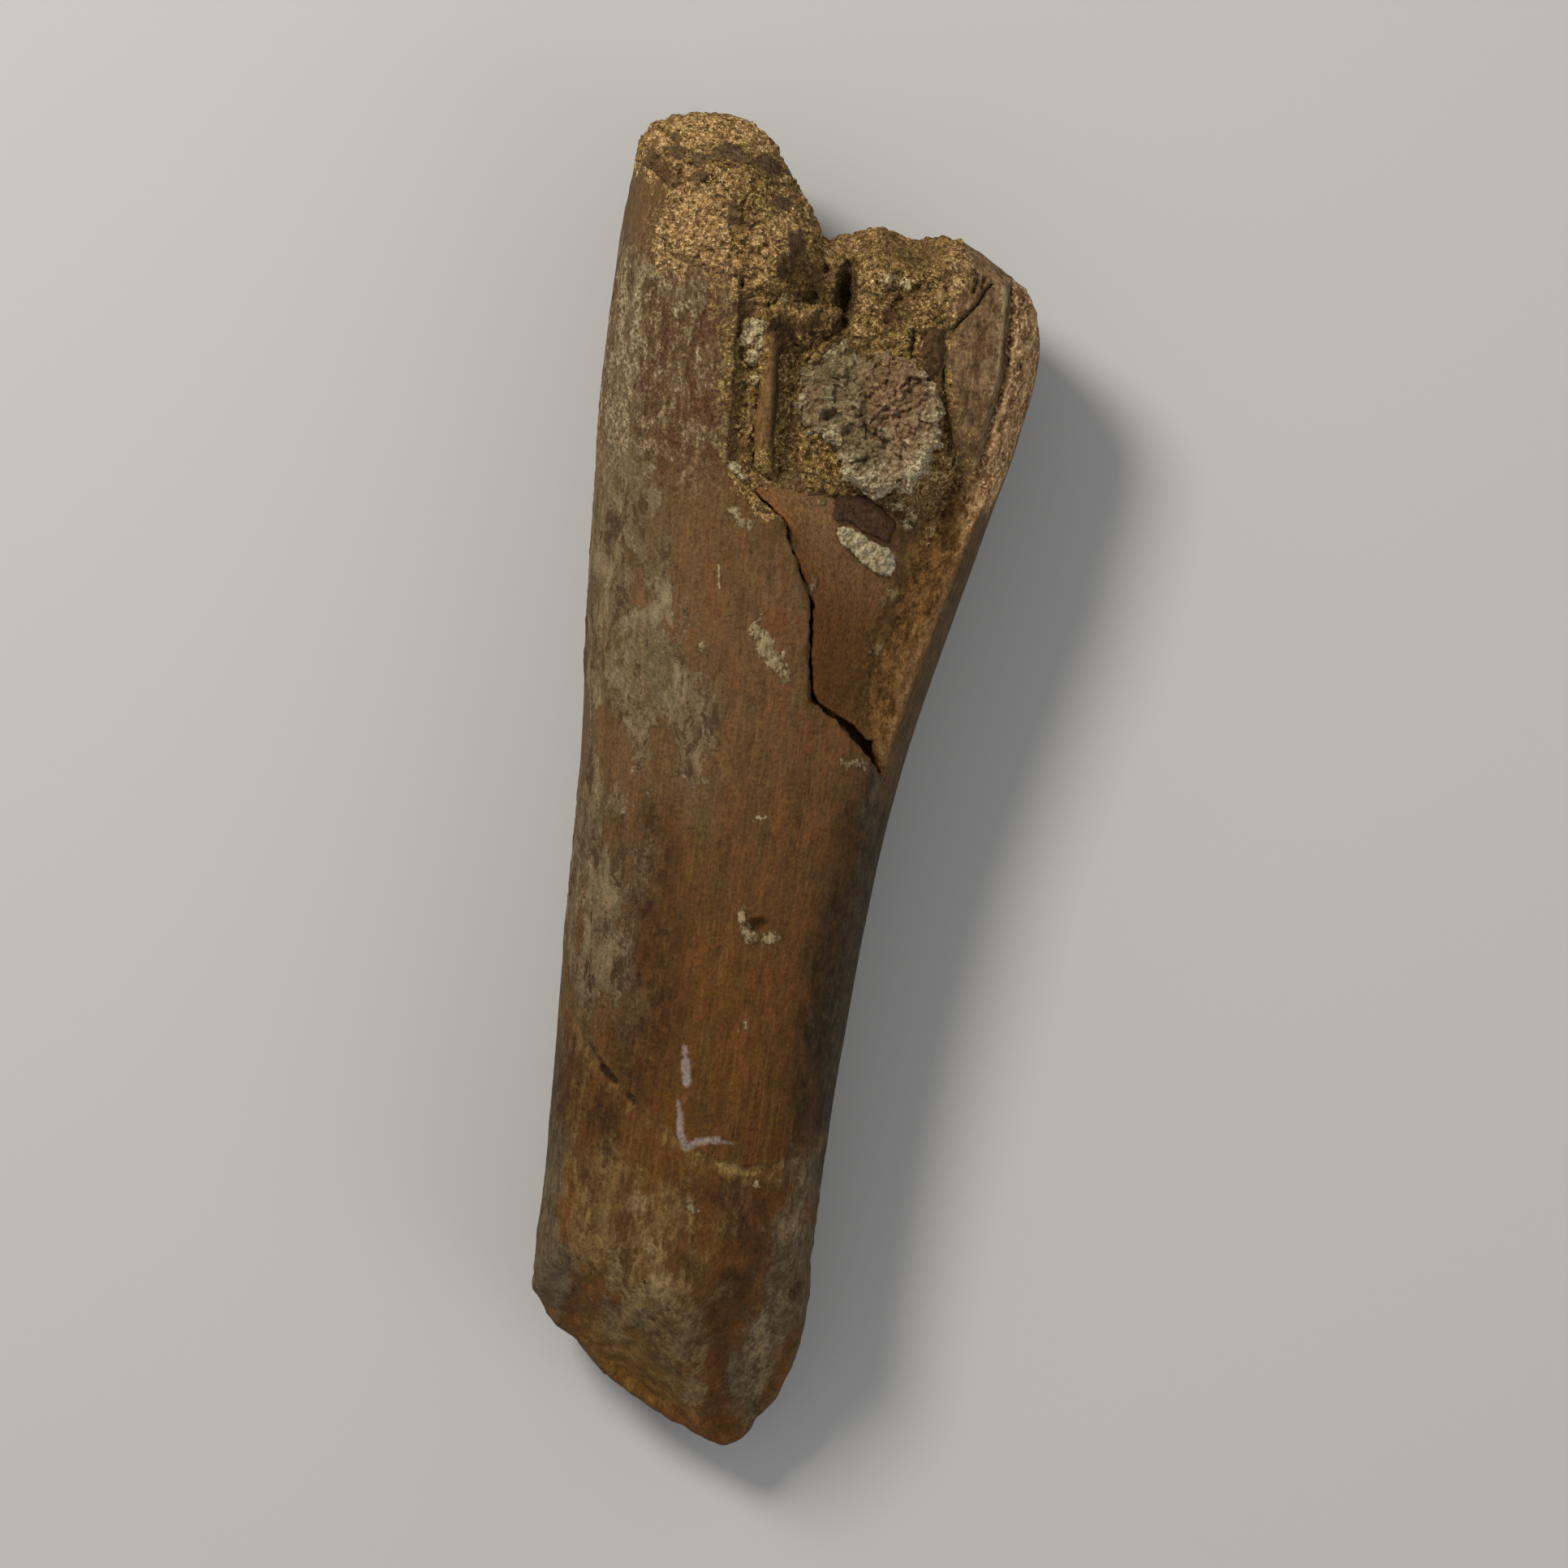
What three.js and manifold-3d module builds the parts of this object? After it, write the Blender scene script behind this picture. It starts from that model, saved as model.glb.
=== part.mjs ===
// A fossil limb bone lying on its back, in millimetres. +Y runs along the shaft from the pointed
// broken end to the flared one, +X is to the right seen from above, and +Z is up. Z = 0 is the
// surface it rests on, and the origin is the middle of its bounding box on that surface.
import * as THREE from 'three';
import { LoftGeometry } from 'three/addons/geometries/LoftGeometry.js';
import { ImprovedNoise } from 'three/addons/math/ImprovedNoise.js';
import { mergeVertices } from 'three/addons/utils/BufferGeometryUtils.js';
import Module from 'manifold-3d';

// ---- driving dimensions ----

// Outline seen from above: [y, left edge, right edge].
const OUTLINE = [
  [-127, 3.6, 8.4],
  [-124, -2.4, 10.6],
  [-120, -11.2, 13.2],
  [-116, -17.6, 15.6],
  [-112, -21.7, 17.5],
  [-108, -27.2, 18.7],
  [-104, -32.1, 19.2],
  [-99, -33.9, 19.1],
  [-84, -33.7, 19.0],
  [-64, -34.5, 19.3],
  [-40, -35.4, 20.2],
  [-16, -36.0, 22.0],
  [8, -37.1, 25.0],
  [32, -38.8, 29.8],
  [56, -40.1, 35.4],
  [72, -41.0, 39.0],
  [88, -41.3, 41.3],
  [130, -41.0, 41.5],
];
// Heights along the bone: [y, underside, widest level, crest]. Undersides below 0 are ground flat.
const HEIGHTS = [
  [-127, 9.0, 14.0, 19.0],
  [-115, 3.2, 17.0, 36.0],
  [-100, 0.2, 21.0, 43.5],
  [-88, -0.8, 21.8, 45.0],
  [-46, -0.8, 22.8, 46.6],
  [-16, 0.9, 23.6, 48.6],
  [20, 1.2, 24.8, 51.4],
  [52, 0.2, 26.2, 54.8],
  [68, -0.8, 26.8, 56.8],
  [102, -0.8, 28.0, 58.4],
  [130, 3.0, 28.4, 58.6],
];
const SECTION_POWER = 2.3; // how square the oval cross-section is; 2 is an ellipse

// How far the broken upper end reaches at each x: the tall horn, the notch, then the lower lobe.
const UPPER_BREAK = [
  [-42, 98],
  [-40.6, 110],
  [-39.2, 120],
  [-34.8, 124.3],
  [-27, 126.8],
  [-20, 126],
  [-15.6, 123.6],
  [-12.4, 119.6],
  [-9.6, 115.6],
  [-6.2, 111.6],
  [-1.6, 105.2],
  [2, 107],
  [9, 108.6],
  [14, 107.4],
  [22, 108.4],
  [31.4, 104.2],
  [37, 100],
  [40, 95],
  [42.5, 86],
];
const HORN = { crest: 57.5, roundAbove: 33, setback: 17, undercut: 13 };
const LOBE = { crest: 46.5, roundAbove: 31, setback: 9, undercut: 10 };
const NOTCH_X = -1.6;

// The broken edge of the front wall, left side of the window: [y, x].
const BREAK_EDGE = [
  [5.5, 20.7],
  [9.6, 16.3],
  [14.2, 11.0],
  [17.4, 5.7],
  [27.1, 4.0],
  [36.1, 3.3],
  [44.7, -1.2],
  [50.6, -3.5],
  [59.1, -15.2],
  [78, -16.1],
  [94.4, -17.2],
  [97, -29.6],
  [101, -32.5],
  [109, -31.4],
  [114.5, -37.4],
  [118, -45],
];
// Where the right wall starts, inside the window: [y, x].
const WALL_EDGE = [
  [5.5, 20.9],
  [12, 18.2],
  [20, 16.4],
  [32, 18.7],
  [39, 21.0],
  [52, 22.4],
  [60, 26.0],
  [66, 27.0],
  [76, 24.5],
  [90, 22.0],
  [130, 21.0],
];
// The thin lip along the right wall: [y, x]. Outside it the wall is broken rough.
const WALL_LIP = [
  [5.5, 20.8],
  [30, 26.0],
  [57, 33.0],
  [66, 31.5],
  [73, 32.3],
  [86, 33.9],
  [97, 33.4],
  [130, 30.0],
];
const BAND_LEVEL = 38.4; // height of the bare fracture face of the right wall
const LAMELLA_LEVEL = 43.2; // height of the inner layer of that wall near the upper end
const MARROW_FLOOR = 10; // thickness of bone left under the sand
const WALL_CURVE = 0.017; // how quickly that floor rises to the sides, per mm

// The two worn facets of the pointed end: the left one rises from a corner of the outline, the
// right one falls to the right of the ridge line that starts at RIDGE.
const LEFT_FACET = { x: -33.8, y: -101, slope: 1.42, alongX: 0.547, alongY: 0.837 };
const RIDGE = { x: -3, y: -100, height: 41, fallX: 0.72, fallY: 0.79 };

// Sand that fills the upper end, and what is worn into it.
const SAND_START = 57.4;
const SAND_LEVEL = 45.6;
const TROUGH_LEVEL = 51.0;
const BESIDE_WALL_DROP = 5.4;
const SLOT = { x: 3.4, y: 95, rx: 2.6, ry: 7, depth: 6 };
const HOLLOW = { x: -13.5, y: 101, rx: 3, ry: 5, depth: 1.8 };
const LEDGE = { start: 112, end: 116, drop: 1.8 };
const HORN_FOOT = [
  [57, -4],
  [92, -3],
  [100, -1],
  [120, -11],
];

// The plate that was pressed in, and the open crack beside it: [y, crack width].
const PLATE_START = 11.6;
const PLATE_THICKNESS = 7.5;
const PLATE_DROP = 2.6;
const PLATE_SAG = 1.6;
const CRACK = [
  [5, 2.3],
  [17, 2.2],
  [20, 0.9],
  [60, 0.8],
];

// Small pieces stuck in the sand or lying on the plate.
const SPLINTER = { x: -9.1, halfWidth: 2.7, start: 58.8, end: 90, crest: 53.6, foot: 42 };
const SHELF = { level: 46, width: 9.8, start: 79.5, end: 84 };
const LUMP = { x: 10.1, y: 71.4, z: 42.6, rx: 13.6, ry: 13.4, rz: 6.0 };
const DARK_CHIP = [
  [6.1, 52.4],
  [12.2, 50.9],
  [17.5, 51.1],
  [17.3, 54.8],
  [12.4, 56.9],
  [6.0, 56.9],
];
const PALE_CHIP = [
  [6.5, 50.4],
  [8.0, 48.6],
  [12.6, 44.6],
  [16.0, 43.0],
  [18.1, 43.3],
  [18.5, 46.0],
  [16.5, 48.8],
  [12.2, 50.2],
  [9.0, 51.0],
];
const CHIP_THICKNESS = 1.7;

// Pits in the shaft: [x, y, radius, depth].
const PITS = [
  [1.3, -26.2, 3.2, 1.3],
  [16.4, -93.6, 3.0, 2.4],
];

const GAP = 0.3; // clearance between pieces that touch
const UPPER_LIMIT = 132; // beyond the upper end of everything
const LOWER_LIMIT = -140;
const SIDE_LIMIT = 46;
const TALLER_THAN_ALL = 70;
const RINGS = 58; // cross-sections along the bone
const RING_POINTS = 40;

const COLOURS = {
  bone: 0x8a6a4a,
  sand: 0xa08550,
  plate: 0x8f6038,
  splinter: 0x9a7850,
  chalk: 0xb9a888,
  darkChip: 0x6b4a33,
  paleChip: 0xbfab85,
};

// ---- helpers ----

const wasm = await Module();
wasm.setup();
const perlin = new ImprovedNoise();
const clamp = THREE.MathUtils.clamp;
const mix = THREE.MathUtils.lerp;
const smoothstep = THREE.MathUtils.smoothstep;

// The value at t of a list of [position, value, ...] rows, straight between rows.
function along(rows, t, column = 1) {
  const last = rows.length - 1;
  if (t <= rows[0][0]) return rows[0][column];
  if (t >= rows[last][0]) return rows[last][column];
  let i = 0;
  while (rows[i + 1][0] < t) i += 1;
  const share = (t - rows[i][0]) / (rows[i + 1][0] - rows[i][0]);
  return mix(rows[i][column], rows[i + 1][column], share);
}

// The smaller of two heights, with the corner between them rounded over `round`.
function softMin(a, b, round) {
  const h = clamp(0.5 + (0.5 * (b - a)) / round, 0, 1);
  return mix(b, a, h) - round * h * (1 - h);
}

// Lumps of about `size` mm across, from -1 to 1.
function lumps(x, y, z, size) {
  return perlin.noise(x / size + 11.3, y / size + 5.7, z / size + 2.1);
}

// Depth at (x, y) of a rounded hollow.
function dip(x, y, { x: cx, y: cy, rx, ry, depth }) {
  return depth * Math.exp(-(((x - cx) / rx) ** 2) - ((y - cy) / ry) ** 2);
}

// Closed geometry to a solid, and back to a named mesh.
function solid(geometry) {
  const bare = new THREE.BufferGeometry();
  bare.setAttribute('position', geometry.attributes.position);
  bare.setIndex(geometry.index);
  const merged = mergeVertices(bare, 1e-4);
  const vertProperties = merged.attributes.position.array;
  const triVerts = new Uint32Array(merged.index.array);
  return new wasm.Manifold(new wasm.Mesh({ numProp: 3, vertProperties, triVerts }));
}

function piece(name, body, color, roughness) {
  const { vertProperties, triVerts } = body.getMesh();
  const geometry = new THREE.BufferGeometry();
  geometry.setAttribute('position', new THREE.BufferAttribute(vertProperties, 3));
  geometry.setIndex(new THREE.BufferAttribute(triVerts, 1));
  geometry.computeVertexNormals();
  const material = new THREE.MeshStandardMaterial({ color, roughness, metalness: 0 });
  const mesh = new THREE.Mesh(geometry, material);
  mesh.name = name;
  return mesh;
}

// A block of nu x nv x nw cells. `place` gets a point with shares 0 to 1 of each side and moves it
// to its place in the bone.
function block(nu, nv, nw, place) {
  const geometry = new THREE.BoxGeometry(1, 1, 1, nu, nv, nw);
  const positions = geometry.attributes.position;
  const point = new THREE.Vector3();
  for (let i = 0; i < positions.count; i += 1) {
    point.fromBufferAttribute(positions, i).addScalar(0.5);
    place(point);
    positions.setXYZ(i, point.x, point.y, point.z);
  }
  return solid(geometry);
}

// ---- surfaces of the bone ----

function sectionAt(y) {
  const left = along(OUTLINE, y, 1);
  const right = along(OUTLINE, y, 2);
  return {
    middle: (left + right) / 2,
    half: (right - left) / 2,
    under: along(HEIGHTS, y, 1),
    level: along(HEIGHTS, y, 2),
    crest: along(HEIGHTS, y, 3),
  };
}

// Height of the unbroken front of the bone over (x, y).
function frontHeight(x, y) {
  const s = sectionAt(y);
  const across = clamp(Math.abs((x - s.middle) / s.half), 0, 1);
  const rise = (1 - across ** SECTION_POWER) ** (1 / SECTION_POWER);
  return s.level + (s.crest - s.level) * rise;
}

// Rise of the two worn facets of the pointed end above the widest level; they meet in a ridge.
function facetRise(x, y, level) {
  const { slope, alongX, alongY } = LEFT_FACET;
  const left = 1 + slope * (alongX * (x - LEFT_FACET.x) + alongY * (y - LEFT_FACET.y));
  const right = RIDGE.height - level - RIDGE.fallX * (x - RIDGE.x) + RIDGE.fallY * (y - RIDGE.y);
  return Math.max(0.4, softMin(left, right, 2.5));
}

// One cross-section, as points from the right edge over the front to the left and back under.
function ring(y) {
  const s = sectionAt(y);
  const points = [];
  for (let i = 0; i < RING_POINTS; i += 1) {
    const turn = (i / RING_POINTS) * Math.PI * 2;
    const c = Math.cos(turn);
    const up = Math.sin(turn);
    const x = s.middle + s.half * Math.sign(c) * Math.abs(c) ** (2 / SECTION_POWER);
    const share = Math.abs(up) ** (2 / SECTION_POWER);
    let z = s.level - (s.level - s.under) * share;
    if (up > 0) {
      z = s.level + softMin((s.crest - s.level) * share, facetRise(x, y, s.level), 3);
      z += mix(1.1, 0.45, smoothstep(y, -92, -62)) * lumps(x, y, z, 14) * share;
    }
    points.push(new THREE.Vector3(x, y, Math.max(0, z)));
  }
  return points;
}

// The bone as it was before its front wall and its upper end broke.
function wholeShaft() {
  const [start] = OUTLINE[0];
  const [end] = OUTLINE[OUTLINE.length - 1];
  const rings = [];
  for (let i = 0; i <= RINGS; i += 1) {
    const share = i / RINGS;
    const y = mix(start, end, share + 0.06 * Math.sin(2 * Math.PI * share) * (share - 1));
    rings.push(ring(y).reverse());
  }
  return solid(new LoftGeometry(rings, { capStart: true, capEnd: true }));
}

// How far the broken upper end reaches at (x, z): it rounds over towards front and back.
function upperReach(x, z) {
  const horn = 1 - smoothstep(x, NOTCH_X - 5, NOTCH_X + 5);
  const crest = mix(LOBE.crest, HORN.crest, horn);
  const from = mix(LOBE.roundAbove, HORN.roundAbove, horn);
  const setback = mix(LOBE.setback, HORN.setback, horn);
  const undercut = mix(LOBE.undercut, HORN.undercut, horn);
  const over = Math.max(0, (z - from) / (crest - from));
  const under = clamp((26 - z) / 26, 0, 1);
  const rough = 1.1 * lumps(x, 120, z, 9);
  return along(UPPER_BREAK, x) - setback * over ** 2.2 - undercut * under ** 1.8 + rough * under;
}

function keptByUpperBreak() {
  return block(30, 1, 14, (p) => {
    const x = mix(-SIDE_LIMIT, SIDE_LIMIT, p.x);
    const z = mix(-4, 62, p.z);
    p.set(x, mix(LOWER_LIMIT, upperReach(x, z), p.y), z);
  });
}

// Height of the right wall's bare broken face over (x, y).
function wallHeight(x, y) {
  const inner = along(WALL_EDGE, y);
  const lip = along(WALL_LIP, y);
  const outer = sectionAt(y).middle + sectionAt(y).half;
  const upper = smoothstep(y, 58, 72);
  const toLip = clamp((x - inner) / Math.max(1, lip - inner), 0, 1);
  const pastLip = clamp((x - lip) / Math.max(1, outer - lip), 0, 1);
  const band = BAND_LEVEL - 1.6 + 1.6 * toLip;
  const lamella = LAMELLA_LEVEL - 2.2 * toLip ** 2 - 8.5 * pastLip ** 1.5;
  return mix(band, lamella, upper) + 0.6 * lumps(x, y, 0, 6) * pastLip;
}

// Everything above the right wall's broken face.
function missingAboveWall() {
  const [start] = WALL_EDGE[0];
  return block(9, 30, 1, (p) => {
    const y = mix(start, UPPER_LIMIT, p.y);
    const x = mix(along(WALL_EDGE, y) - 1, SIDE_LIMIT, p.x);
    p.set(x, y, mix(wallHeight(x, y), TALLER_THAN_ALL, p.z));
  });
}

// ---- the window in the front wall and what lies in it ----

function plateTop(x, y) {
  const left = along(BREAK_EDGE, y);
  const right = along(WALL_EDGE, y);
  const share = clamp((x - left) / Math.max(1, right - left), 0, 1);
  const high = frontHeight(left, y) - PLATE_DROP;
  const low = BAND_LEVEL - 1.9;
  return mix(high, low, share) - PLATE_SAG * Math.sin(Math.PI * share);
}

function marrowFloor(x, y) {
  const { middle } = sectionAt(y);
  const rising = 14 * (1 - smoothstep(y, SAND_START, SAND_START + 22));
  return MARROW_FLOOR + rising + WALL_CURVE * (x - middle) ** 2;
}

// The seat that the plate lies in, open to the front.
function plateSeat() {
  return block(5, 18, 1, (p) => {
    const y = mix(BREAK_EDGE[0][0], SAND_START, p.y) + (p.y === 1 ? 1 : 0);
    const x = mix(along(BREAK_EDGE, y), along(WALL_EDGE, y), p.x);
    const floor = plateTop(x, y) - PLATE_THICKNESS - 2 * GAP;
    p.set(x, y, mix(floor, TALLER_THAN_ALL, p.z));
  });
}

// How far an edge line moves in x to stand `clearance` off its old place, however it slants.
function shifted(edge, y, clearance) {
  const slope = (along(edge, y + 3) - along(edge, y - 3)) / 6;
  return clearance * Math.hypot(1, 2.4 * slope);
}

function marrowSpace(clearance) {
  return block(8, 24, 1, (p) => {
    const y = mix(SAND_START, UPPER_LIMIT, p.y) - (p.y === 0 ? GAP - clearance : 0);
    const left = along(BREAK_EDGE, y);
    const right = along(WALL_EDGE, y);
    const inwards = mix(shifted(BREAK_EDGE, y, clearance), -shifted(WALL_EDGE, y, clearance), p.x);
    const x = mix(left, right, p.x);
    const floor = marrowFloor(x, y) + clearance;
    p.set(x + inwards, y, mix(floor, TALLER_THAN_ALL, p.z));
  });
}

// Height of the sand over (x, y): the horn on the left, the lower lobe, the trough beside the left
// wall, and the ledge, hollow and slot worn into them.
function sandTop(x, y) {
  const foot = along(HORN_FOOT, y);
  const high = 1 - smoothstep(x, foot - 9, foot);
  const hornLevel = mix(TROUGH_LEVEL, HORN.crest, smoothstep(y, 88, 98));
  const nearWall = smoothstep(x, 14, 27) * (1 - smoothstep(y, 74, 92));
  const worn = dip(x, y, SLOT) + dip(x, y, HOLLOW);
  const ledge = LEDGE.drop * smoothstep(y, LEDGE.start, LEDGE.end) * high;
  const level = mix(SAND_LEVEL - BESIDE_WALL_DROP * nearWall, hornLevel, high) - worn - ledge;
  const start = plateTop(x, SAND_START) + 0.8;
  return mix(start, level, smoothstep(y, SAND_START, SAND_START + 4)) + 1.4 * lumps(x, y, 0, 6.5);
}

function belowSandTop() {
  return block(17, 18, 1, (p) => {
    const x = mix(-SIDE_LIMIT, 30, p.x);
    const y = mix(SAND_START - 4, UPPER_LIMIT, p.y);
    p.set(x, y, mix(0, sandTop(x, y), p.z));
  });
}

function plateSolid() {
  return block(5, 18, 1, (p) => {
    const y = clamp(mix(BREAK_EDGE[0][0], SAND_START, p.y), PLATE_START, SAND_START - GAP);
    const left = along(BREAK_EDGE, y) + along(CRACK, y);
    const x = mix(left, Math.max(left + 0.6, along(WALL_EDGE, y) - GAP), p.x);
    const top = plateTop(x, y);
    p.set(x, y, mix(top - PLATE_THICKNESS, top, p.z));
  });
}

// The splinter is a smooth ridge; its upper part has a shelf that falls away to the right.
function splinterSolid(grow) {
  const { x: ridge, halfWidth, start, end, crest, foot } = SPLINTER;
  return block(6, 10, 1, (p) => {
    const y = mix(start - grow, end + grow, p.y);
    const reach = ridge + halfWidth + SHELF.width * smoothstep(y, SHELF.start, SHELF.end);
    const x = mix(ridge - halfWidth - grow, reach + 2.5 * grow, p.x);
    const fall = clamp((x - ridge) / 13, 0, 1);
    const round = 1.6 * Math.min(1, Math.abs(x - ridge) / halfWidth) ** 2;
    const top = mix(crest, SHELF.level, Math.sqrt(fall)) - round + grow;
    p.set(x, y, mix(foot - grow, top, p.z));
  });
}

function lumpSolid(grow) {
  const geometry = new THREE.IcosahedronGeometry(1, 3);
  const positions = geometry.attributes.position;
  const p = new THREE.Vector3();
  for (let i = 0; i < positions.count; i += 1) {
    p.fromBufferAttribute(positions, i);
    const bump = 1 + 0.16 * lumps(p.x, p.y, p.z, 0.55);
    p.set(p.x * (LUMP.rx + grow), p.y * (LUMP.ry + grow), p.z * (LUMP.rz + grow)).multiplyScalar(bump);
    p.add(new THREE.Vector3(LUMP.x, LUMP.y, LUMP.z));
    positions.setXYZ(i, p.x, p.y, p.z);
  }
  return solid(geometry);
}

// A flake of even thickness lying on the plate.
function chipSolid(corners) {
  const shape = new THREE.Shape(corners.map(([x, y]) => new THREE.Vector2(x, y)));
  const geometry = new THREE.ExtrudeGeometry(shape, { depth: 1, steps: 1, bevelEnabled: false });
  const positions = geometry.attributes.position;
  for (let i = 0; i < positions.count; i += 1) {
    const x = positions.getX(i);
    const y = positions.getY(i);
    const lift = GAP + 0.25 + CHIP_THICKNESS * positions.getZ(i);
    positions.setZ(i, plateTop(x, y) + lift);
  }
  return solid(geometry);
}

function pitSolid([x, y, radius, depth]) {
  const geometry = new THREE.SphereGeometry(radius, 10, 8);
  geometry.translate(x, y, frontHeight(x, y) - depth + radius);
  return solid(geometry);
}

// ---- assembly ----

function makeBone(broken) {
  let body = broken.subtract(marrowSpace(0));
  body = body.subtract(plateSeat());
  body = body.subtract(missingAboveWall());
  for (const pit of PITS) body = body.subtract(pitSolid(pit));
  return body;
}

function makeSand(broken) {
  const body = broken.intersect(marrowSpace(GAP)).intersect(belowSandTop());
  return body.subtract(splinterSolid(GAP)).subtract(lumpSolid(GAP));
}

const broken = wholeShaft().intersect(keptByUpperBreak());
const group = new THREE.Group();
group.add(piece('bone', makeBone(broken), COLOURS.bone, 0.7));
group.add(piece('sediment_fill', makeSand(broken), COLOURS.sand, 0.95));
group.add(piece('sunken_plate', plateSolid(), COLOURS.plate, 0.65));
group.add(piece('bone_splinter', splinterSolid(0), COLOURS.splinter, 0.7));
group.add(piece('chalk_lump', lumpSolid(0), COLOURS.chalk, 0.95));
group.add(piece('dark_chip', chipSolid(DARK_CHIP), COLOURS.darkChip, 0.7));
group.add(piece('pale_chip', chipSolid(PALE_CHIP), COLOURS.paleChip, 0.9));

export default group;
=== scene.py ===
import bpy
import numpy as np
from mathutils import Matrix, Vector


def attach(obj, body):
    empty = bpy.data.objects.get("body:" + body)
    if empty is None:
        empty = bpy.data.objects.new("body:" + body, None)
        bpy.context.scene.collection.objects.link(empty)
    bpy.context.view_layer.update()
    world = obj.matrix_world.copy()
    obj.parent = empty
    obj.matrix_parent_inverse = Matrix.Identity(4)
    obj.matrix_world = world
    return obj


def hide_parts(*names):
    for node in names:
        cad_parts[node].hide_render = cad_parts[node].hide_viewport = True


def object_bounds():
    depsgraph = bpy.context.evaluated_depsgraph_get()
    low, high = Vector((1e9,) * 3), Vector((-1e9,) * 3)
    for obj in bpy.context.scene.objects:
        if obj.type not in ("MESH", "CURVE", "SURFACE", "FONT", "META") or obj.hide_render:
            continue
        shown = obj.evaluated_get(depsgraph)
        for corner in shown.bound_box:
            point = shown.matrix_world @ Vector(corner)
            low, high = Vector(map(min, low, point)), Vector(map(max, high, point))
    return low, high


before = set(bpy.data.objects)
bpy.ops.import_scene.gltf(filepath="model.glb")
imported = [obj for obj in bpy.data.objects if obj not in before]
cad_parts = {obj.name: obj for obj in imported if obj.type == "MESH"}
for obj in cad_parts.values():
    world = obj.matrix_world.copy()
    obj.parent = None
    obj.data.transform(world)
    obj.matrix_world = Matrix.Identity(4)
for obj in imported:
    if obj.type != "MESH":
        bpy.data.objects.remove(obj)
cad_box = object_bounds()

# ---- Table, lamps and camera ----
# The bone lies on a wide, plain, pale table. A broad soft lamp stands beyond its flared end, a
# weaker one fills from the other side, and the camera looks straight down on it.
MM = 0.001
TABLE_HALF = 8.0
TABLE_COLOUR = (0.5, 0.495, 0.485)
ROOM_COLOUR = (0.9, 0.91, 0.93)
ROOM_STRENGTH = 0.42
LAMP_AIM_DROP = 0.03
VIEW_CENTRE = (2.67, 1.54)
BONE_LEAN = 7.0
CAMERA_HEIGHT = 1230.0
FOCUS_LEVEL = 30.0
FRAME_WIDTH = 299.5
SENSOR_WIDTH = 36.0

table_mesh = bpy.data.meshes.new("table")
table_corners = [(-1, -1), (1, -1), (1, 1), (-1, 1)]
table_mesh.from_pydata([(x * TABLE_HALF, y * TABLE_HALF, 0) for x, y in table_corners], [], [(0, 1, 2, 3)])
table = bpy.data.objects.new("table", table_mesh)
bpy.context.scene.collection.objects.link(table)
table_paint = bpy.data.materials.new("pale_table")
table_paint.use_nodes = True
table_shader = table_paint.node_tree.nodes["Principled BSDF"]
table_shader.inputs["Base Color"].default_value = (*TABLE_COLOUR, 1)
table_shader.inputs["Roughness"].default_value = 0.9
table_shader.inputs["Specular IOR Level"].default_value = 0.2
table_mesh.materials.append(table_paint)

room = bpy.data.worlds.new("room")
bpy.context.scene.world = room
room.use_nodes = True
room_light = room.node_tree.nodes["Background"]
room_light.inputs["Color"].default_value = (*ROOM_COLOUR, 1)
room_light.inputs["Strength"].default_value = ROOM_STRENGTH


def lamp(name, place, size, power, colour):
    light = bpy.data.lights.new(name, "AREA")
    light.shape = "DISK"
    light.size = size
    light.energy = power
    light.color = colour
    holder = bpy.data.objects.new(name, light)
    holder.location = place
    aim = holder.location.copy()
    aim.z -= LAMP_AIM_DROP
    holder.rotation_euler = aim.to_track_quat("Z", "Y").to_euler()
    holder.visible_camera = False
    bpy.context.scene.collection.objects.link(holder)


lamp("key_lamp", (-0.72, 0.7, 1.0), 0.42, 16.5, (1.0, 0.955, 0.88))
lamp("fill_lamp", (0.9, -0.35, 0.8), 0.8, 2.1, (0.94, 0.96, 1.0))

camera_data = bpy.data.cameras.new("camera")
camera_data.sensor_width = SENSOR_WIDTH
camera_data.lens = SENSOR_WIDTH * (CAMERA_HEIGHT - FOCUS_LEVEL) / FRAME_WIDTH
camera_data.clip_start = 0.05
camera_data.clip_end = 50.0
camera = bpy.data.objects.new("camera", camera_data)
camera.location = (VIEW_CENTRE[0] * MM, VIEW_CENTRE[1] * MM, CAMERA_HEIGHT * MM)
camera.rotation_euler = (0, 0, np.radians(BONE_LEAN))
bpy.context.scene.collection.objects.link(camera)
bpy.context.scene.camera = camera
bpy.context.scene.view_settings.view_transform = "Standard"

# ---- Petrified bone ----
# One hollow shaft of petrified bone, flared and broken open at its upper end and worn to an
# oblique point at its lower end. Its skin is smooth and streaked under a grey crust, and where
# it broke it is rough.

# y, then x of the left and of the right edge.
OUTLINE = [
    (-127.0, 5.4, 6.6), (-126.2, 2.2, 8.8), (-124.0, -2.4, 10.9), (-120, -11.2, 13.4),
    (-116, -17.6, 15.7), (-112, -21.9, 17.5), (-108, -27.0, 18.6), (-104, -31.6, 19.1),
    (-99, -33.8, 19.2), (-84, -33.8, 19.0), (-64, -34.5, 19.3), (-40, -35.4, 20.2),
    (-16, -36.0, 22.0), (8, -37.1, 25.0), (32, -38.8, 29.8), (56, -40.1, 35.4), (72, -41.0, 39.0),
    (88, -41.25, 41.2), (130, -41.0, 41.3),
]
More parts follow.
